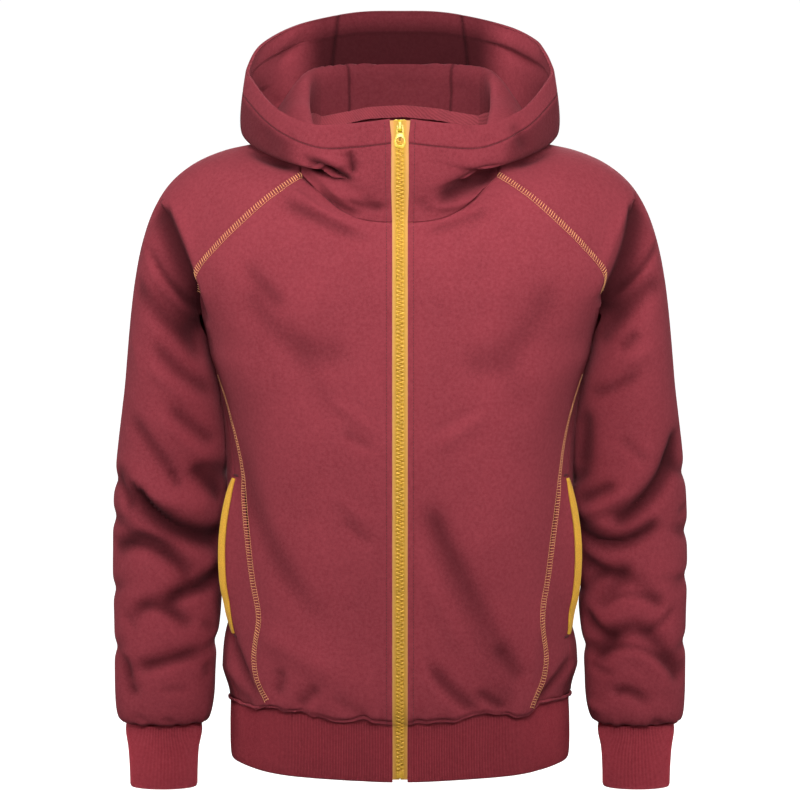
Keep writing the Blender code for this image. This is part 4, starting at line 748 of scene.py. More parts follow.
def crease_depth(points, normals, facing, fold, fades):
    """How far one fold moves each of the points along its normal. Points far from it are passed over."""
    left, right, height = fold[6:9]
    a, b, c = corners = np.array(fold[:6], float).reshape(3, 2)
    depth = np.zeros(len(points))
    sideways = abs(facing) == 2
    flat = points[:, [1 if sideways else 0, 2]]
    turned = normals[:, 0 if sideways else 1] * np.sign(facing)
    wide = 2.4 * max(left, right)
    near_by = ((flat > corners.min(axis=0) - wide) & (flat < corners.max(axis=0) + wide)).all(axis=1) & (turned > 0.02)
    if not near_by.any():
        return depth
    flat = flat[near_by]
    t = np.linspace(0, 1, ARC_STEPS + 1)[:, None]
    arc = a * (1 - t) * (1 - 2 * t) + b * 4 * t * (1 - t) + c * t * (2 * t - 1)
    near, side, place = np.full(len(flat), 1e9), np.zeros(len(flat)), np.zeros(len(flat))
    for k, (start, end) in enumerate(zip(arc[:-1], arc[1:])):
        step = end - start
        share = np.clip((flat - start) @ step / (step @ step), 0, 1)
        off = flat - start - share[:, None] * step
        distance = np.linalg.norm(off, axis=1)
        closer = distance < near
        side = np.where(closer, step[0] * off[:, 1] - step[1] * off[:, 0], side)
        place = np.where(closer, (k + share) / ARC_STEPS, place)
        near = np.where(closer, distance, near)
    found = height * bell(near, np.where(side > 0, left, right)) * ramp(0.05, 0.5, turned[near_by])
    if fades:
        fade = fold[9] if len(fold) > 9 else FADE
        found = found * ramp(0, 0.35, place + fade) * ramp(0, 0.35, 1 - place + fade)
    depth[near_by] = found
    return depth


def gape(z):
    """How far the pocket's mouth stands open at a height, from 0 at its ends to 1 at its middle."""
    t = np.clip((POCKET_TOP - z) / (POCKET_TOP - POCKET_BOTTOM), 0, 1)
    return np.sin(math.pi * t) ** 0.7


def lifted(grid, ends):
    """A grid on the side-front panel with the pocket's mouth lifted, given the panel's edge point in each row."""
    far = np.linalg.norm(ends[:, None, :2] - grid[:, :, :2], axis=-1)
    lift = gape(grid[:, :, 2]) * np.exp(-far / POCKET_REACH)
    return grid + lift[..., None] * np.array(POCKET_LIFT)


def ripple(angle):
    """An uneven wave round a tube, by the angle round it."""
    return sum(size * np.sin(count * angle + phase) for count, phase, size in RIPPLES)


def around(grid):
    """The angle of each point round the upright axis, 0 at the front."""
    return np.arctan2(grid[..., 0], -grid[..., 1])


# ---------------------------------------------------------------- the cloth


def body_levels():
    """Levels at an even spacing along the side seam and the raglan seam, closer at both ends."""
    fine = np.linspace(-12, 9, 2101)
    at = read(BODY, BODY_COLUMNS, fine)
    run = runs(np.stack([at["f_x"], at["f_y"], at["f_z"]], axis=1))
    levels = np.interp(spaced(run[-1], int(run[-1] / GRID)) * run[-1], run, fine)
    for fixed in (0, PRINCESS_TOP):
        levels[np.argmin(abs(levels - fixed))] = fixed
    return levels


def body_grids(levels):
    """The left half of the body: front, side-front and back."""
    front, side, back = [], [], []
    for level, (front_row, back_row) in zip(levels, body_rows(levels)):
        share = princess_share(front_row, level)
        length = runs(front_row)[-1]
        front.append(along(front_row, spaced(length * share, FRONT_COLUMNS) * share))
        if level <= PRINCESS_TOP:
            side.append(along(front_row, share + spaced(length * (1 - share), SIDE_COLUMNS) * (1 - share)))
        back.append(along(back_row, 1 - spaced(runs(back_row)[-1], BACK_COLUMNS)))
    return {"front": np.array(front), "side_front": np.array(side), "back": np.array(back)}


def eased(grid, row):
    """The grid with the break in its slope at one row smoothed away, its first and last columns left alone."""
    grid = grid.copy()
    columns = np.arange(grid.shape[1])
    weight = bell(np.arange(len(grid)) - row, 6.0)[:, None] * ramp(0, 12, np.minimum(columns, columns[::-1]))[None]
    for _ in range(60):
        grid[1:-1] += 0.5 * weight[1:-1, :, None] * ((grid[:-2] + grid[2:]) / 2 - grid[1:-1])
    return grid


def base_grids():
    """The even grids of the panels and the sleeves, and the levels of their rows."""
    levels = body_levels()
    arm = np.linspace(-14, 0, int(ARM_LENGTH / GRID) + 1)[:-1]
    left = body_grids(levels)
    sleeve = sleeve_grid(np.concatenate([arm, levels[levels >= 0]]), spaced(ARM_ROUND, SLEEVE_COLUMNS_HALF))
    left["sleeve"] = eased(sleeve, len(arm))
    left["side_front"] = lifted(left["side_front"], left["side_front"][:, -1])
    grids = {}
    for name, grid in left.items():
        if name == "back":
            grids[name] = doubled(grid)
        else:
            grids[name + "_left"], grids[name + "_right"] = grid, mirrored(grid)
    return grids, levels


def seam_depth(name, grid, levels):
    """The valleys beside the seams, and the gathers above the ribs."""
    far = reach(grid)
    low = far["low"]
    if name.startswith("sleeve"):
        angle = around(grid - np.array([CUFF_MIDDLE[0] * (1 if "left" in name else -1), CUFF_MIDDLE[1], 0]))
        gathers = ripple(angle * 0.35) * bell(low, CUFF_GATHERS) * ramp(0, 3, low)
        return relief(far["high"], COLLAR_GROOVE) + relief(low, CUFF_GROOVE) + gathers
    depth = relief(low, HEM_GROOVES) + 0.8 * ripple(around(grid)) * bell(low, HEM_GATHERS) * ramp(0, 3, low)
    if name.startswith("front"):
        depth += relief(far["first" if "left" in name else "last"], ZIP_GROOVES)
    else:
        below = ramp(0.3, -0.3, levels[: len(grid)])[:, None]
        for side in ("first", "last") if name == "back" else ("last",) if "left" in name else ("first",):
            depth += relief(far[side], PANEL_GROOVE) * below
    if not name.startswith("side"):
        depth += relief(far["high"], COLLAR_GROOVE)
    return depth


def drawn_back(name, grid, levels):
    """The grid with its sewn borders moved a little into the piece."""
    grid = grid.copy()
    above = np.ones(len(grid), bool)
    if name.startswith("sleeve"):
        above = np.arange(len(grid)) >= len(grid) - (levels >= 0).sum()
    steps = [
        (np.s_[:, 0], unit(grid[:, 1] - grid[:, 0]) * above[:, None]),
        (np.s_[:, -1], unit(grid[:, -2] - grid[:, -1]) * above[:, None]),
        (np.s_[-1], unit(grid[-2] - grid[-1])), (np.s_[0], unit(grid[1] - grid[0])),
    ]
    for border, step in steps:  # all steps are measured before any border moves
        grid[border] += step * SEAM_BACK
    return grid


def waved(grid):
    """A body grid with the line of its hem seam in waves: those of the photograph, small ones, and the back's."""
    angle = around(grid)
    shift = np.interp(grid[..., 0], *np.array(HEM_LIFT, float).T) * ramp(2.1, 1.6, abs(angle))
    shift += HEM_WAVE * ripple(angle * 0.8) * ramp(0.06, 0.2, abs(angle))
    shift += BACK_WAVE * ripple(angle * 0.3) * ramp(1.7, 2.2, abs(angle))
    return grid + (shift * bell(reach(grid)["low"], WAVES_REACH))[..., None] * UP


def creased(grid, normals, parts, shares=None):
    """How far the folds and the creases on these parts move a grid's points, and how deep they lie.

    shares are the points' places on the way up the hood.
    """
    points, ups = grid.reshape(-1, 3), normals.reshape(-1, 3)
    total, low = np.zeros(len(points)), np.zeros(len(points))
    for table, fades in ((FOLDS, False), (CREASES, True)):
        for part, facing, folds in table:
            if part not in parts:
                continue
            for fold in folds:
                depth = crease_depth(points, ups, facing, fold, fades)
                if part in HOOD_PARTS:
                    start, stop = HOOD_PARTS[part]
                    depth = depth * ((shares > start) & (shares < stop))
                total += depth
                low += np.minimum(depth, 0)
    return total.reshape(grid.shape[:2]), low.reshape(grid.shape[:2])


def painted_fold_shade(low):
    """The share of its colour that the cloth keeps under painted shade: less deep in a fold."""
    return 1 - FOLD_SHADE * (1 - np.exp(-((-low / 6.2) ** 1.7)))


def build_body():
    """The panels and sleeves. Returns their outer grids before they are drawn back, their normals and levels."""
    grids, levels = base_grids()
    grids = {name: grid if name.startswith("sleeve") else waved(grid) for name, grid in grids.items()}
    shades = {}
    normals = shared_normals(grids)
    for name, grid in grids.items():
        x, z, ups = grid[..., 0], grid[..., 2], normals[name]
        group = "sleeve" if name.startswith("sleeve") else "body"
        depth, low = creased(grid, ups, ("both", group))
        depth = depth + seam_depth(name, grid, levels)
        moved = grids[name] = grid + ups * depth[..., None]
        if group == "body":
            far = reach(grid)["low"]
            # painted shade: in the folds, and in the groove of the hem's cover line
            shades[name] = painted_fold_shade(low) * (1 - COVER_SHADE * bell(far - COVER_LINE, 1.3))
            pull = np.interp(far, *np.array(SIDE_PULL, float).T) * ramp(*SIDE_BAND, abs(x))
            moved[..., 0] += pull * np.sign(x)
        else:
            # painted shade in the folds, deeper in the upper arm's
            shades[name] = painted_fold_shade(low * (1 + ARM_SHADE * ramp(*ARM_SHADE_HEIGHTS, z)))
            out = 1 if "left" in name else -1
            inner = ramp(*ELBOW_TOP, z) * ramp(*ELBOW_FOOT, z) * ramp(-0.2, -0.9, ups[..., 0] * out)
            moved[..., 0] -= ELBOW_PULL * inner * out
    normals = shared_normals(grids)
    for name, grid in grids.items():
        outer = drawn_back(name, grid, levels)
        shade = {"shade": (shades[name], np.ones_like(shades[name]))}
        wall(name, outer, outer - normals[name] * CLOTH, "fleece", shade)
    return grids, normals, levels


def ribbed(row):
    """Points along a closed or open row, four for each wale of the rib, and how deep each lies in its groove."""
    count = 4 * int(round(runs(row)[-1] / RIB_PITCH))
    return along(row, np.linspace(0, 1, count + 1)), np.array([0.0, 0.5, 1.0, 0.5])[np.arange(count + 1) % 4]


def hem_row(grids):
    """The body's lowest row, from the left front's edge round the back to the right front's."""
    return chained([grids[name][0] for name in HEM_PANELS])


def build_hem_rib(grids, plain):
    """The rib under the hem's seam. plain are the grids without its waves."""
    seam, groove = ribbed(hem_row(grids))
    out = unit(seam * LEVEL)
    front = seam[:, 1] < HEM_FRONT
    out[front] = unit(out[front] * np.array([0.6, 1, 0]))
    waves = 0.7 * ripple(around(seam) * 0.5)
    heights = along(hem_row(plain), np.linspace(0, 1, len(seam))) * UP
    longer = (1 + HEM_LONGER * bell(seam[:, 0], 70) * (seam[:, 1] < 0))[:, None] * UP
    outer, inner, groove_shades = [], [], []
    for drop, inset, depth in HEM_ROWS[::-1]:
        share = bell(drop, 20)
        line = seam * (LEVEL + share * UP) + heights * (1 - share)
        in_by = inset - waves * bell(drop, 22) * min(1, drop / 4)
        outer.append(line - out * (in_by + depth * RIB_RELIEF * groove)[:, None] - drop * longer)
        inner.append(line - out * (in_by + RIB)[:, None] - min(drop, 61.0) * longer)
        groove_shades.append(groove * depth)
    groove_shades = np.array(groove_shades)
    # painted shade: the hem's rib darker all over than the cuffs, and darker in its grooves
    values = {"groove_shade": (groove_shades, 0 * groove_shades), "shade": (0 * groove_shades + HEM_RIB_SHADE, 0 * groove_shades + HEM_RIB_SHADE)}
    wall("hem_rib", np.array(outer), np.array(inner), "rib_knit", values)


def build_cuffs():
    """The cuffs, the left one mirrored for the right."""
    z, *columns = np.array(CUFF, float).T
    drops = np.array(CUFF_DROPS)
    at = [smooth(-z, values, -z[0] + drops) for values in columns]
    rings = [arm_ring(x, y, z[0] - drop, *half, np.linspace(0, 1, 200)) for drop, x, y, *half in zip(drops, *at)]
    groove = ribbed(rings[0])[1]
    outer, inner, groove_shades = [], [], []
    for drop, ring in zip(drops[::-1], rings[::-1]):
        whole = min(1, (drops[-1] - drop) / 3)
        depth = groove * whole * min(1, 0.3 + drop / 3)
        row = along(ring, np.linspace(0, 1, len(groove)))
        ahead = np.roll(row[:-1], -1, axis=0) - np.roll(row[:-1], 1, axis=0)
        ahead = np.concatenate([ahead, ahead[:1]])
        out = unit(np.stack([ahead[:, 1], -ahead[:, 0], np.zeros(len(ahead))], axis=1))
        outer.append(row - out * ((1 - whole) ** 2 + 0.9 * bell(drop, 2) + RIB_RELIEF * depth)[:, None])
        under = row - out * RIB
        under[:, 2] = z[0] - min(drop, drops[-1] - 1)
        inner.append(under)
        groove_shades.append(depth)
    outer, inner, groove_shades = np.array(outer), np.array(inner), np.array(groove_shades)
    for side, turn in HANDS:
        deep = groove_shades if side == "left" else groove_shades[:, ::-1]
        # painted shade in the rib's grooves
        values = {"groove_shade": (deep, 0 * deep), "shade": (0 * deep + 1,) * 2}
        wall("cuff_" + side, turn(outer), turn(inner), "rib_knit", values)


def neck_row(grids):
    """The left half of the neck seam, from the zip to the centre back."""
    back = grids["back"][-1][: BACK_COLUMNS + 1]
    return chained([grids["front_left"][-1], grids["sleeve_left"][-1], back])


def build_hood(grids, plain):
    """The hood's three panels, on the neck seam. plain are the grids without the body's folds."""
    seam = neck_row(grids)
    keep = np.unique(np.concatenate([np.arange(0, len(seam), 2), [len(seam) - 1]]))
    hood, places = hood_grid(neck_row(plain)[keep], HOOD_ROWS)
    split = int(np.argmin(abs(places - HOOD_CENTRE_PLACE)))
    side, centre = hood[:, : split + 1], hood[:, split:]
    parts = {"hood_left": side, "hood_right": mirrored(side), "hood_centre": doubled(centre)}
    normals = shared_normals(parts)
    shades, inside = {}, {}
    for name, grid in parts.items():
        far = reach(grid)
        high, x = far["high"], abs(grid[..., 0])
        up = far["low"] / (far["low"] + high)
        depth, low = creased(grid, normals[name], ("hood", "rim", "crest"), up.reshape(-1))
        depth += relief(high, HOOD_GROOVES)
        # painted shade outside: in the folds, over the whole hood and in the groove of the hood's hem
        shade = painted_fold_shade(low) * HOOD_SHADE * (1 - HEM_LINE_SHADE * bell(high - HOOD_HEM_DEPTH, 1.1))
        # inside, painted shade darkens the bag over the neck and the foot of the hood's back
        deep = ramp(0.4, 0.5, up) * (1 - 0.45 * ramp(30, 0, high)) * ramp(125, 85, x)
        inner_shade = (1 - HOOD_INSIDE_SHADE * deep) * (1 - 0.5 * ramp(0.24, 0.08, up) * ramp(20, 45, grid[..., 1]))
        for border in {"hood_left": ("last",), "hood_right": ("first",)}.get(name, ("first", "last")):
            depth += relief(far[border], PANEL_GROOVE)
            # painted shade in the grooves of the panels' seams inside
            inner_shade = inner_shade * (1 - 0.5 * bell(far[border], 1.5))
        flare = 0
        if name != "hood_centre":
            edge, out = (far["first"], 1) if name == "hood_left" else (far["last"], -1)
            depth += relief(edge, ZIP_GROOVES) + HOOD_BELLY * ramp(0, 60, far["low"]) * bell(edge, 95)
            # painted shade on the hood's outer sides, below its hem
            shade = shade * (1 - HOOD_FLANK_SHADE * ramp(100, 122, x) * ramp(0.5, 0.6, up) * ramp(22, 34, high))
            flare = HOOD_FLARE * ramp(22, 0, high) * bell(edge, 9) * out
        parts[name] = grid + normals[name] * depth[..., None]
        parts[name][..., 0] += flare
        shades[name], inside[name] = shade, inner_shade
    neck = seam[keep]
    parts["hood_left"][0] = neck[: split + 1]
    parts["hood_right"][0] = (neck[: split + 1] * FLIP)[::-1]
    parts["hood_centre"][0] = chained([neck[split:], (neck[split:] * FLIP)[::-1]])
    normals = shared_normals(parts)
    for name, grid in parts.items():
        high = reach(grid)["high"]
        outer = grid.copy()
        outer[0] += unit(grid[1] - grid[0]) * SEAM_BACK
        for border, step in ((0, 1), (-1, -2)):
            outer[:, border] += unit(grid[:, step] - grid[:, border]) * SEAM_BACK
        thick = CLOTH + (HOOD_HEM - CLOTH) * ramp(HOOD_HEM_DEPTH + 0.8, HOOD_HEM_DEPTH - 0.8, high)
        thick = thick - 0.5 * bell(high - HOOD_HEM_DEPTH, 0.9)
        wall(name, outer, outer - normals[name] * thick[..., None], "fleece", {"shade": (shades[name], inside[name])})
    return parts, normals


# ---------------------------------------------------------------- stitching


def tube(steps, sides):
    """The faces of a tube of rings, closed at both ends."""
    faces = [
        [i * sides + k, i * sides + (k + 1) % sides, (i + 1) * sides + (k + 1) % sides, (i + 1) * sides + k]
        for i in range(steps - 1) for k in range(sides)
    ]
    return faces + [list(range(sides))[::-1], [(steps - 1) * sides + k for k in range(sides)]]


def capsules(paths, ups, radius):
    """Round threads along many short paths of equal point count, thin at both ends, as points and faces."""
    paths = np.array(paths).transpose(1, 0, 2)
    count, steps = paths.shape[:2]
    tangents = unit(np.gradient(paths, axis=1))
    across = unit(np.cross(tangents, ups[:, None]))
    over = np.cross(across, tangents)
    turns = np.linspace(0, 2 * math.pi, THREAD_SIDES, endpoint=False)[:, None]
    swell = np.full(steps, radius)
    swell[[0, -1]] = radius * 0.45
    rings = paths[:, :, None] + swell[None, :, None, None] * (
        across[:, :, None] * np.cos(turns) + over[:, :, None] * np.sin(turns)
    )
    one, size = tube(steps, THREAD_SIDES), steps * THREAD_SIDES
    return rings.reshape(-1, 3), [[k + n * size for k in face] for n in range(count) for face in one]


def strip_at(strip, places):
    """The near, middle and far points and the normal of a seam at places along it, and its direction there."""
    seam, run = strip[1], runs(strip[1])
    near, middle, far, ups = (sampled(part, run, places) for part in strip)
    return near, middle, far, unit(ups), unit(sampled(seam, run, places + 0.5) - sampled(seam, run, places - 0.5))


def over_seam(strip, places, offsets, lift):
    """Points over a seam: places along it, offsets across it (below 0 on the near side) and heights over the cloth."""
    near, seam, far, ups, ahead = strip_at(strip, places)
    offsets = np.broadcast_to(offsets, len(places))[:, None]
    sides = [unit(side - (side * ahead).sum(axis=1, keepdims=True) * ahead) for side in (near - seam, far - seam)]
    flat = seam + np.where(offsets < 0, -sides[0], sides[1]) * offsets
    return flat + ups * np.broadcast_to(lift, len(places))[:, None], ups


def rungs(strip, half, slant=0.5):
    """The cross threads of a flatlock seam. half is its half width by the share of its length."""
    length = runs(strip[1])[-1]
    places = np.arange(FLATLOCK_PITCH / 2, length, FLATLOCK_PITCH)
    places = places + 0.25 * np.sin(places * 1.7)
    wide = half(places / length)
    paths, ups = [], None
    for share in (-1, -0.5, 0, 0.5, 1):
        points, ups = over_seam(strip, places + slant * share, wide * share, 0.3 + 0.35 * (1 - share * share))
        paths.append(points)
    return capsules(paths, ups, THREAD_RADIUS)


def running(strip, offset, pitch, fill, lift, bow, radius):
    """A line of stitches beside a seam. offset is its distance by the share of the seam's length."""
    length = runs(strip[1])[-1]
    places = np.arange(pitch / 2, length - pitch / 2, pitch)
    offsets = offset(places / length)
    paths, ups = [], None
    for share in (-1, -0.4, 0.4, 1):
        high = lift + bow * (1 - share * share)
        points, ups = over_seam(strip, places + share * fill * pitch / 2, offsets, high)
        paths.append(points)
    return capsules(paths, ups, radius)


def plain_line(strip):
    return running(strip, lambda t: 0 * t, *PLAIN_STITCH, PLAIN_THREAD)


def build_flatlocks(grids, normals, levels):
    """Ladders of cross threads over the raglan and the front seams, with lines of stitches beside them."""
    shoulder = np.arange(len(levels))[levels >= 0]
    parts = []

    def narrowing(width, sign=1):
        return lambda t: width - sign * NARROWER * ramp(*NARROWING, t)

    for side, turn in HANDS:
        front, panel, back = (turn(grids[name]) for name in ("front_" + side, "side_front_" + side, "back"))
        panel_up = turn(normals["side_front_" + side])[:, 0]
        sleeve, sleeve_up = (turn(source["sleeve_" + side])[-len(shoulder):] for source in (grids, normals))
        rows = len(panel)
        near = np.concatenate([panel[shoulder[0] : rows, -5], front[rows:, -5]])
        raglan = (near, sleeve[:, 0], sleeve[:, 4], sleeve_up[:, 0])
        raglan = tuple(part[sleeve[:, 0, 2] > RAGLAN_FOOT] for part in raglan)
        back_raglan = (back[shoulder, 4], sleeve[:, -1], sleeve[:, -5], sleeve_up[:, -1])
        heights = panel[:, 0, 2]
        shown = (heights < PRINCESS_STITCHES) & (heights > heights[0] + 4)
        princess = tuple(part[shown] for part in (front[:rows, -5], panel[:, 0], panel[:, 4], panel_up))
        made = []
        for seam in (raglan, back_raglan):
            made.append(rungs(seam, lambda t: RAGLAN_HALF + 0 * t))
            made.append(running(seam, lambda t: RAGLAN_LINE + 0 * t, *COVER_STITCH, RAGLAN_THREAD))
        made.append(rungs(princess, narrowing(PRINCESS_HALF)))
        made += [running(princess, narrowing(*line), *COVER_STITCH, PRINCESS_THREAD) for line in PRINCESS_LINES]
        parts += [on_hand(side, *shape) for shape in made]
    mesh_object("flatlock_stitches", *joined(parts), "thread", sharp=80)


# ---------------------------------------------------------------- the zip, tapes and pockets


def zip_line(grids, hood):
    """Fine rows up the front's edge: the edge points, the way out, and how deep the tape's middle lies."""
    front = grids["front_left"][:, 0]
    edge = chained([np.concatenate([front[0] - UP * np.array(ZIP_FOOT)[:, None], front]), hood["hood_left"][:, 0]])
    edge = at_length(edge, np.arange(0, runs(edge)[-1], TAPE_STEP))
    for k in (1, 2):
        edge[:, k] = np.convolve(np.pad(edge[:, k], 6, mode="edge"), np.ones(13) / 13, mode="valid")
    rise = unit(np.gradient(edge, axis=0))
    out = np.stack([np.zeros(len(edge)), -rise[:, 2], rise[:, 1]], axis=1)
    on_rib = np.arange(len(edge)) * TAPE_STEP < ZIP_FOOT[0] + TAPE_STEP
    return edge, out, np.where(on_rib, RIB, CLOTH) + TAPE_CLEAR + TAPE_THICK / 2


def build_zip(grids, hood):
    """The zip's tapes. Returns their middle line and the way out along it."""
    low, high = (np.array(corner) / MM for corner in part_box("zip_tape_left"))
    edge, out, depth = zip_line(grids, hood)
    edge = edge[(edge[:, 2] > low[2] - 1.5) & (edge[:, 2] < high[2] + 3.0)]
    kept = np.minimum(np.arange(len(edge) + 1), len(edge) - 1)
    edge = np.concatenate([edge, edge[-1:] + unit(edge[-1:] - edge[-3:-2]) * TAPE_BEYOND])
    out, depth = out[kept], depth[kept][:, None]
    line = edge * np.array([0, 1, 1])
    rows = line[:, None] + np.array(TAPE_ACROSS)[None, :, None] * np.array([1, 0, 0])
    sag = np.array([0] * (len(TAPE_ACROSS) - 1) + [0.2])
    front = rows - out[:, None] * (depth - TAPE_THICK / 2 + sag)[..., None]
    for side, turn in HANDS:
        wall("zip_tape_" + side, turn(front), turn(front - out[:, None] * TAPE_THICK), "zip_tape")
    return line - out * depth, out


def rounded_block(half, bevel, segments=2):
    """The points and faces of a box with rounded edges."""
    shape = bmesh.new()
    bmesh.ops.create_cube(shape, size=2)
    for vertex in shape.verts:
        vertex.co = [h * v for h, v in zip(half, vertex.co)]
    bmesh.ops.bevel(shape, geom=list(shape.edges), offset=bevel, segments=segments, affect="EDGES", profile=0.5)
    points = np.array([v.co for v in shape.verts])
    faces = [[v.index for v in f.verts] for f in shape.faces]
    shape.free()
    return points, faces


def joined(parts):
    """One list of points and faces from several."""
    points, faces, start = [], [], 0
    for some, shape in parts:
        points.append(np.asarray(some))
        faces += [[k + start for k in face] for face in shape]
        start += len(some)
    return np.concatenate(points), faces


def build_teeth(middle, out):
    """Moulded teeth, the two sides half a pitch apart: a neck over the middle, a root on the tape and a head."""
    run = runs(middle)
    shapes = [(rounded_block(*block), x, ahead) for block, x, ahead in TOOTH_BLOCKS]
    parts = []
    for side in (-1, 1):
        at = np.arange(TEETH_FOOT + (TOOTH_PITCH / 2 if side > 0 else 0), run[-1] - TEETH_TOP, TOOTH_PITCH)
        ways = unit(sampled(out, run, at))
        for centre, way, up in zip(at_length(middle, at), ways, np.cross(np.array([1.0, 0, 0]), -ways)):
            axes = np.array([[1, 0, 0], way, up])
            parts += [(centre + (block + [side * x, ahead, 0]) @ axes, faces) for (block, faces), x, ahead in shapes]
    made = mesh_object("zip_teeth", *joined(parts), "zip_plastic")
    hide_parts("zip_teeth")


def framed(points, at, tilt):
    """Points of a frame that stands at a place of the zip and leans with it."""
    turn = np.array([[1, 0, 0], [0, math.cos(tilt), math.sin(tilt)], [0, -math.sin(tilt), math.cos(tilt)]])
    return np.asarray(at) + np.asarray(points) @ turn


def polar(outline, centre, turns):
    """A closed outline's distance from a centre at each of the turns, with its corners a little rounded."""
    loop = np.array([(x, 0, z) for x, z in (*outline, outline[0])], float) - [centre[0], 0, centre[1]]
    loop = along(loop, np.linspace(0, 1, 721))
    found = np.interp(turns, np.arctan2(loop[:, 2], loop[:, 0]), np.hypot(loop[:, 0], loop[:, 2]), period=2 * math.pi)
    return (np.roll(found, 1) + 2 * found + np.roll(found, -1)) / 4


def plate(outline, thick, centre=(0, 0), hole=None, edge=0.4, y=0.0):
    """A flat plate with rounded edges, seen from the front, solid or with a hole round its centre."""
    turns = np.linspace(0, 2 * math.pi, 72, endpoint=False)
    outer, half = polar(outline, centre, turns), thick / 2
    soft = edge * 0.3
    rings = [(outer - edge, -half), (outer - soft, soft - half), (outer, edge - half), (outer, half - edge)]
    rings += [(outer - soft, half - soft), (outer - edge, half)]
    if hole is not None:
        inner = polar(hole, centre, turns)
        rings += [(inner + edge, half), (inner, half - edge), (inner, edge - half), (inner + edge, -half)]
    points = np.concatenate([
        np.stack([centre[0] + r * np.cos(turns), np.full(72, y + deep), centre[1] + r * np.sin(turns)], axis=1)
        for r, deep in rings
    ])
    count, faces = len(rings), []
    for a in range(count if hole is not None else count - 1):
        b = (a + 1) % count
        faces += [[a * 72 + k, b * 72 + k, b * 72 + (k + 1) % 72, a * 72 + (k + 1) % 72] for k in range(72)]
    if hole is None:
        faces += [list(range(72)), [(count - 1) * 72 + k for k in range(72)][::-1]]
    return points, faces


def bar(knots, half_width, half_thick):
    """A flat rounded bar along a curve through points (y, z) in the middle plane."""
    knots = np.array(knots, float)
    at = np.arange(len(knots))
    fine = np.linspace(0, at[-1], 8 * at[-1] + 1)
    path = np.stack([0 * fine, smooth(at, knots[:, 0], fine), smooth(at, knots[:, 1], fine)], axis=1)
    over = np.cross(unit(np.gradient(path, axis=0)), np.array([1.0, 0, 0]))
    turns = np.linspace(0, 2 * math.pi, 16, endpoint=False)
    wide, high = (np.sign(f(turns)) * abs(f(turns)) ** 0.5 for f in (np.cos, np.sin))
    rings = path[:, None] + (wide * half_width)[None, :, None] * np.array([1, 0, 0])
    rings = rings + (high * half_thick)[None, :, None] * over[:, None]
    return rings.reshape(-1, 3), tube(len(path), 16)


def both_sides(half):
    """A closed outline from its right half, given from top to bottom."""
    return [*half, *[(-x, z) for x, z in half[::-1] if x]]


def circle(centre, radius):
    turns = np.linspace(0, 2 * math.pi, 48, endpoint=False)
    return [(centre[0] + radius * math.cos(t), centre[1] + radius * math.sin(t)) for t in turns]


def shifted(block, place):
    return block[0] + np.array(place), block[1]


def build_slider():
    """The slider with its bridge, the pull tab and the retainer box, in the places of their solids."""
    face = PLATE_CLEAR + PLATE_THICK
    pivot = np.array(ZIP_PIVOT)
    at = pivot - framed([(0, -face - PULL_STANDOFF, PULL_PIVOT)], (0, 0, 0), ZIP_TILT)[0]
    body = both_sides(SLIDER_OUTLINE)
    middle = PLATE_CLEAR + PLATE_THICK / 2
    post = rounded_block((POST_HALF, middle, (POST_HIGH - POST_LOW) / 2), 0.3)
    parts = [
        plate(body, PLATE_THICK, edge=0.5, y=-middle), plate(body, PLATE_THICK, edge=0.5, y=middle),
        shifted(post, (0, 0, (POST_LOW + POST_HIGH) / 2)), bar([(y - face, z) for y, z in BRIDGE], 1.75, 0.8),
    ]
    for side in (-1, 1):
        parts.append(shifted(rounded_block((2.3, 0.9, 3.1), 0.85, 3), (side * 4.5, -face - 0.1, 4.6)))
        parts.append(shifted(rounded_block((0.5, 0.7, 4.2), 0.35), (side * 5.2, -PLATE_CLEAR + 0.3, -3.4)))
        parts.append(shifted(rounded_block((0.45, 0.4, 4.0), 0.3), (side * 4.9, -face - 0.1, -3.6)))
    points, faces = joined(parts)
    made = mesh_object("zip_slider", framed(points, at, ZIP_TILT), faces, "slider_plastic", sharp=40)
    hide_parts("zip_slider")

    hole = (0, PULL_TOP - PULL_LENGTH + HOLE_RISE)
    points, faces = joined([
        plate(both_sides(LOOP_OUTLINE), PULL_THICK, (0, -4), both_sides(LOOP_WINDOW), 0.45),
        plate(both_sides(TAB_OUTLINE), PULL_THICK, hole, circle(hole, PULL_HOLE / 2), 0.5),
        plate(circle(hole, 5.6), PULL_THICK + 0.3, hole, circle(hole, PULL_HOLE / 2 + 0.1), 0.35),
    ])
    made = mesh_object("zip_pull", framed(points, pivot, ZIP_TILT), faces, "slider_plastic", "pull_tab", sharp=40)
    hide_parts("zip_pull")

    low, high = (np.array(corner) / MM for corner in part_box("zip_box"))
    high = high + UP * BOX_TALLER
    half = (high - low) / 2
    block = rounded_block((half[0], half[1] * 0.96, half[2] * 0.9), 0.7, 3)
    lip = rounded_block((half[0] + 0.1, half[1], 0.45), 0.3)
    notch = rounded_block((0.35, half[1] * 0.985, half[2] * 0.6), 0.2)
    points, faces = joined([block, shifted(lip, (0, 0, half[2] * 0.72)), shifted(notch, (0, 0, -half[2] * 0.2))])
    made = mesh_object("zip_box", points + (low + high) / 2, faces, "zip_plastic", sharp=40)
    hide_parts("zip_box")


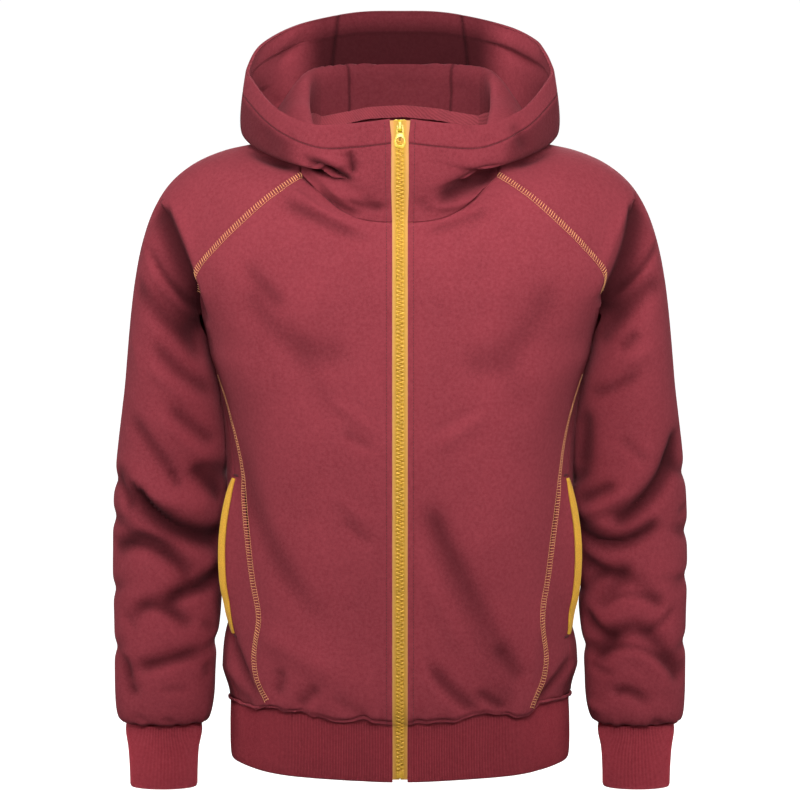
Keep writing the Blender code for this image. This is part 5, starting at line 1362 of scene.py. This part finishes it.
def build_plain_stitches(grids, normals, hood, hood_normals):
    """Stitch lines beside the zip and along the hood's hem, tone-on-tone but made darker as painted shade of their
    grooves.
    """
    parts = []
    for side, turn in HANDS:
        for name, source, ups in (("front_", grids, normals), ("hood_", hood, hood_normals)):
            grid, up = turn(source[name + side]), turn(ups[name + side])
            line = int(np.argmin(abs(reach(grid)["first"].mean(axis=0) - ZIP_STITCH)))
            strip = (grid[:, line - 1], grid[:, line], grid[:, line + 1], up[:, line])
            parts.append(on_hand(side, *plain_line(strip)))
    row = HOOD_ROWS + 1 - len(HEM_STEPS)
    sources = ((hood, -1), (hood, 0), (hood, 1), (hood_normals, 0))
    parts.append(plain_line([chained([source[n][row + k] for n in HOOD_PANELS]) for source, k in sources]))
    mesh_object("plain_stitches", *joined(parts), "thread_dark", sharp=80)


def build_bartacks(grids, normals):
    """The dense short stitches at the ends of the pocket mouths."""
    parts = []
    for side, turn in HANDS:
        panel, up = turn(grids["side_front_" + side]), turn(normals["side_front_" + side])
        for level in (POCKET_TOP + 1, POCKET_BOTTOM - 1):
            row = int(np.argmin(abs(panel[:, -1, 2] - level)))
            line = panel[row][::-1]
            strip = (line - 2.0 * UP, line, line + 2.0 * UP, up[row][::-1])
            places = np.arange(*BARTACK_PLACES)
            made = [over_seam(strip, places, BARTACK_HALF * k, 1.2 - 0.9 * abs(k)) for k in (-1, 0, 1)]
            parts.append(on_hand(side, *capsules([points for points, _ in made], made[-1][1], BARTACK_THREAD)))
    mesh_object("bartacks", *joined(parts), "thread_dark", sharp=80)


def build_welts(grids, normals):
    """The bindings of the pockets' mouths, over the edge of each side front."""
    for side, turn in HANDS:
        panel, up = turn(grids["side_front_" + side])[:, ::-1], turn(normals["side_front_" + side])[:, ::-1]
        rows, leads = [], []
        for row, row_up in zip(panel, up):
            if not POCKET_BOTTOM - 0.5 < row[0, 2] < POCKET_TOP + 0.5:
                continue
            width = WELT_WIDTH * (WELT_TIP + (1 - WELT_TIP) * ramp(0, 0.6, float(gape(row[0, 2]))))
            reached = [width, width - 0.7, width * 0.75, width * 0.5, width * 0.25, WELT_EDGE + 0.6, WELT_EDGE]
            rows.append(at_length(row, reached))
            leads.append(unit(sampled(row_up, runs(row), reached)))
        rows, leads = np.array(rows), np.array(leads)
        swell = np.array(WELT_SWELL)[None, :, None]
        outer, inner = rows + leads * (WELT_CLEAR + WELT_THICK + swell), rows + leads * WELT_BACK
        wall("pocket_welt_" + side, turn(outer), turn(inner), "pocket_trim")


def build_bags(levels):
    """The pocket bags, each laid under the front panel and, at the mouth, on the unlifted side of the body."""
    plain = body_grids(levels[(levels >= BAG_LEVELS[0]) & (levels <= BAG_LEVELS[1])])
    for side, turn in HANDS:
        grid = turn(np.concatenate([plain["front"][:, -BAG_COLUMNS:], plain["side_front"][:, 1:-3]], axis=1))
        up = shared_normals({"bag": grid})["bag"]
        fall = np.minimum(creased(grid, up, ("both", "body"))[0], 0)[..., None]
        outer = grid + up * (fall - CLOTH - BAG_CLEAR)
        wall("pocket_bag_" + side, outer, outer - up * BAG_THICK, "fleece")


def build_neck_tape(hood):
    """The tape over the neck seam, inside the back of the neck."""
    seam, above = (chained([hood[name][row] for name in HOOD_PANELS]) for row in (0, 4))
    keep = seam[:, 1] > NECK_TAPE_FRONT
    seam, above = seam[keep], above[keep]
    up = unit(above - seam)
    normal = unit(np.cross(unit(np.gradient(seam, axis=0)), up))
    outer = np.array([
        seam + (up if place > 0 else unit(up * 0.6 + 0.8 * UP)) * place - normal * (CLOTH + NECK_TAPE_CLEAR)
        for place in NECK_TAPE_ACROSS
    ])
    wall("neck_tape", outer, outer - normal * NECK_TAPE_THICK, "neck_tape")


# ---------------------------------------------------------------- materials


def shader(name, rough, sheen=0.0):
    """A new material's node tree, its shader and the place on the object."""
    made = MATERIALS[name] = bpy.data.materials.new(name + "_looks")
    made.use_nodes = True
    tree = made.node_tree
    main = tree.nodes["Principled BSDF"]
    main.inputs["Roughness"].default_value = rough
    main.inputs["Sheen Weight"].default_value = sheen
    main.inputs["Sheen Roughness"].default_value = 0.5
    return tree, main, tree.nodes.new("ShaderNodeTexCoord").outputs["Object"]


def node(tree, kind, inputs, mode=None):
    """A new node in a mode, with its inputs set or, where the value is a socket, linked."""
    made = tree.nodes.new("ShaderNode" + kind)
    if kind == "Mix":
        made.data_type, made.blend_type = "RGBA", mode
    elif kind == "TexWave":
        made.bands_direction = mode
    elif mode:
        made.operation = mode
    for key, value in inputs.items():
        if isinstance(value, bpy.types.NodeSocket):
            tree.links.new(value, made.inputs[key])
        else:
            made.inputs[key].default_value = value
    return made


def noise(tree, vector, scale, detail=2.0):
    return node(tree, "TexNoise", {"Vector": vector, "Scale": scale, "Detail": detail}).outputs["Fac"]


def weave(tree, vector, scale, distortion, grain=1.0):
    inputs = {"Vector": vector, "Scale": scale, "Distortion": distortion, "Detail Scale": grain}
    return node(tree, "TexWave", inputs, "DIAGONAL").outputs["Fac"]


def tones(tree, factor, stops):
    """Colours by a factor, each stop (place, colour)."""
    made = node(tree, "ValToRGB", {"Fac": factor})
    while len(made.color_ramp.elements) < len(stops):
        made.color_ramp.elements.new(0.5)
    for element, (place, colour) in zip(made.color_ramp.elements, stops):
        element.position, element.color = place, (*colour, 1)
    return made.outputs["Color"]


def mix(tree, factor, a, b, mode="MIX"):
    return node(tree, "Mix", {0: factor, 6: a, 7: b}, mode).outputs[2]


def covered(tree, main, colour, heights):
    """The shader's colour, and its bumps in a row, each (height socket, strength, distance in metres)."""
    before = {}
    for height, strength, distance in heights:
        made = node(tree, "Bump", {"Height": height, "Strength": strength, "Distance": distance, **before})
        before = {"Normal": made.outputs["Normal"]}
    tree.links.new(before["Normal"], main.inputs["Normal"])
    tree.links.new(colour, main.inputs["Base Color"])


def attribute(tree, name):
    made = node(tree, "Attribute", {})
    made.attribute_name = name
    return made.outputs["Fac"]


def make_cloth(name, tone, rough, sheen):
    """Brushed fleece or knitted rib: heathered colour, a fine pile and soft unevenness, with painted shade from the
    pieces' shade attribute.
    """
    tree, main, place = shader(name, rough, sheen)
    main.inputs["Sheen Tint"].default_value = (0.9, 0.34, 0.4, 1)
    main.inputs["Specular IOR Level"].default_value = 0.05
    fibre, pile, cloud = noise(tree, place, 1500, 3), noise(tree, place, 300, 3), noise(tree, place, 16, 3)
    dark, light = tuple(c * 0.74 for c in tone), tuple(min(1, c * 1.28) for c in tone)
    pale = (tone[0] * 1.35, tone[1] * 1.9, tone[2] * 1.75)
    colour = tones(tree, fibre, ((0.3, dark), (0.66, light)))
    colour = mix(tree, 0.4, colour, tones(tree, pile, ((0.3, dark), (0.72, pale))))
    colour = mix(tree, 0.22, colour, tones(tree, cloud, ((0.3, dark), (0.7, light))))
    # painted shade, darker deep in the rib's grooves
    if name == "rib_knit":
        groove = tones(tree, attribute(tree, "groove_shade"), ((0.1, (1, 1, 1)), (0.9, (0.5, 0.42, 0.46))))
        colour = mix(tree, 1.0, colour, groove, "MULTIPLY")
    # painted shade in the folds, grooves and hood, as each piece gives it
    shade = tones(tree, attribute(tree, "shade"), GREYS)
    colour = mix(tree, 1.0, colour, shade, "MULTIPLY")
    covered(tree, main, colour, [(cloud, 0.2, 0.004), (pile, 0.35, 0.0009), (fibre, 0.4, 0.0004)])


def make_zip_tape():
    """Woven tape: amber at the teeth and paler towards its sides, with fine diagonal ribs."""
    tree, main, place = shader("zip_tape", 0.75, 0.12)
    x = node(tree, "SeparateXYZ", {0: place}).outputs["X"]
    across = node(tree, "Math", {0: node(tree, "Math", {0: x}, "ABSOLUTE").outputs[0], 1: 100.0}, "MULTIPLY").outputs[0]
    stops = ((0.30, (0.42, 0.22, 0.018)), (0.56, (0.50, 0.26, 0.026)), (0.68, (0.56, 0.28, 0.06)),
             (0.8, (0.58, 0.26, 0.1)))
    ribs, cloud, pale = weave(tree, place, 420, 1.5), noise(tree, place, 30), (0.62, 0.34, 0.06)
    colour = mix(tree, 0.2, tones(tree, across, stops), tones(tree, ribs, ((0, (0.36, 0.17, 0.02)), (1, pale))))
    colour = mix(tree, 0.15, colour, tones(tree, cloud, ((0.3, (0.4, 0.19, 0.02)), (0.7, pale))))
    covered(tree, main, colour, [(ribs, 0.4, 0.0003), (noise(tree, place, 900), 0.3, 0.0003)])


def make_neck_tape():
    """Herringbone tape over the neck seam."""
    tree, main, place = shader("neck_tape", 0.9, 0.03)
    ribs, cloud = weave(tree, place, 160, 3.0, 2.0), noise(tree, place, 60)
    colour = tones(tree, ribs, ((0.2, (0.175, 0.016, 0.025)), (0.8, (0.235, 0.025, 0.037))))
    colour = mix(tree, 0.3, colour, tones(tree, cloud, ((0.3, (0.15, 0.015, 0.024)), (0.7, (0.25, 0.028, 0.04)))))
    covered(tree, main, colour, [(ribs, 0.5, 0.0005), (noise(tree, place, 800), 0.3, 0.0003)])


def make_plain(name, tone, rough, sheen, scale, depth):
    """Thread, welt tape or moulded plastic: a grained colour with a fine relief."""
    tree, main, place = shader(name, rough, sheen)
    fine, cloud = noise(tree, place, scale, 3), noise(tree, place, 40)
    stops = ((0.3, tuple(c * 0.78 for c in tone)), (0.7, tuple(min(1, c * 1.2) for c in tone)))
    colour = mix(tree, 0.3, tones(tree, fine, stops), tones(tree, cloud, stops))
    uneven = node(tree, "MapRange", {"Value": cloud, "To Min": rough - 0.08, "To Max": rough + 0.08})
    tree.links.new(uneven.outputs["Result"], main.inputs["Roughness"])
    covered(tree, main, colour, [(fine, 0.3, depth)])


def make_materials():
    make_cloth("fleece", FLEECE, 0.95, 0.08)
    make_cloth("rib_knit", RIB_COLOUR, 0.95, 0.08)
    make_zip_tape()
    make_neck_tape()
    for row in PLAIN_MATERIALS:
        make_plain(*row)


# ---------------------------------------------------------------- the studio


def linked(name, data):
    """A new object in the scene."""
    made = bpy.data.objects.new(name, data)
    bpy.context.scene.collection.objects.link(made)
    return made


def build_studio():
    """The camera, the pale floor, the soft light from all round and the lamps."""
    scene = bpy.context.scene
    camera = bpy.data.cameras.new("camera")
    camera.lens, camera.sensor_width = CAMERA_LENS, 36
    scene.camera = linked("camera", camera)
    rise = CAMERA_AIM + CAMERA_AWAY * math.sin(CAMERA_TILT)
    scene.camera.location = (0, -CAMERA_AWAY * math.cos(CAMERA_TILT), rise)
    scene.camera.rotation_euler = (math.pi / 2 - CAMERA_TILT, 0, 0)

    mesh = bpy.data.meshes.new("floor")
    corners = [(x * FLOOR_HALF, y * FLOOR_HALF, FLOOR_LEVEL) for x, y in ((-1, -1), (1, -1), (1, 1), (-1, 1))]
    mesh.from_pydata(corners, [], [(0, 1, 2, 3)])
    floor = linked("floor", mesh)
    tree, main, place = shader("floor", 0.9)
    main.inputs["Base Color"].default_value = FLOOR_COLOUR
    main.inputs["Emission Strength"].default_value = 1.0
    far = node(tree, "VectorMath", {0: place}, "LENGTH").outputs["Value"]
    share = node(tree, "MapRange", {"Value": far, "From Min": FLOOR_FADE[0], "From Max": FLOOR_FADE[1]})
    tree.links.new(tones(tree, share.outputs["Result"], GREYS), main.inputs["Emission Color"])
    mesh.materials.append(MATERIALS["floor"])
    floor.visible_diffuse = floor.visible_glossy = False  # the world below the horizon gives the soft light from below

    world = scene.world = bpy.data.worlds.new("world")
    world.use_nodes = True
    tree = world.node_tree
    z = node(tree, "SeparateXYZ", {0: tree.nodes.new("ShaderNodeTexCoord").outputs["Generated"]}).outputs["Z"]
    high = node(tree, "Math", {0: z, 1: 0.5, 2: 0.5}, "MULTIPLY_ADD").outputs[0]
    white = (1, 1, 1)
    sky = tones(tree, high, ((0.47, GROUND), (0.48, white), (0.525, white), (0.55, SKY), (1.0, SKY)))
    tree.links.new(sky, tree.nodes["Background"].inputs["Color"])
    tree.nodes["Background"].inputs["Strength"].default_value = 1.02
    scene.view_settings.view_transform = "Standard"
    for name, at, to, size, power, spread in LIGHTS:
        lamp = bpy.data.lights.new(name, "AREA")
        lamp.shape, lamp.size, lamp.energy, lamp.spread = "SQUARE", size, power, math.radians(spread)
        placed = linked(name, lamp)
        placed.location = at
        placed.rotation_euler = (Vector(to) - Vector(at)).to_track_quat("-Z", "Y").to_euler()
        placed.visible_camera = False


make_materials()
grids, normals, levels = build_body()
plain = base_grids()[0]
build_hem_rib(grids, plain)
build_cuffs()
hood, hood_normals = build_hood(grids, plain)
build_teeth(*build_zip(grids, hood))
build_flatlocks(grids, normals, levels)
build_welts(grids, normals)
build_bags(levels)
build_neck_tape(hood)
build_slider()
build_plain_stitches(grids, normals, hood, hood_normals)
build_bartacks(grids, normals)
build_studio()
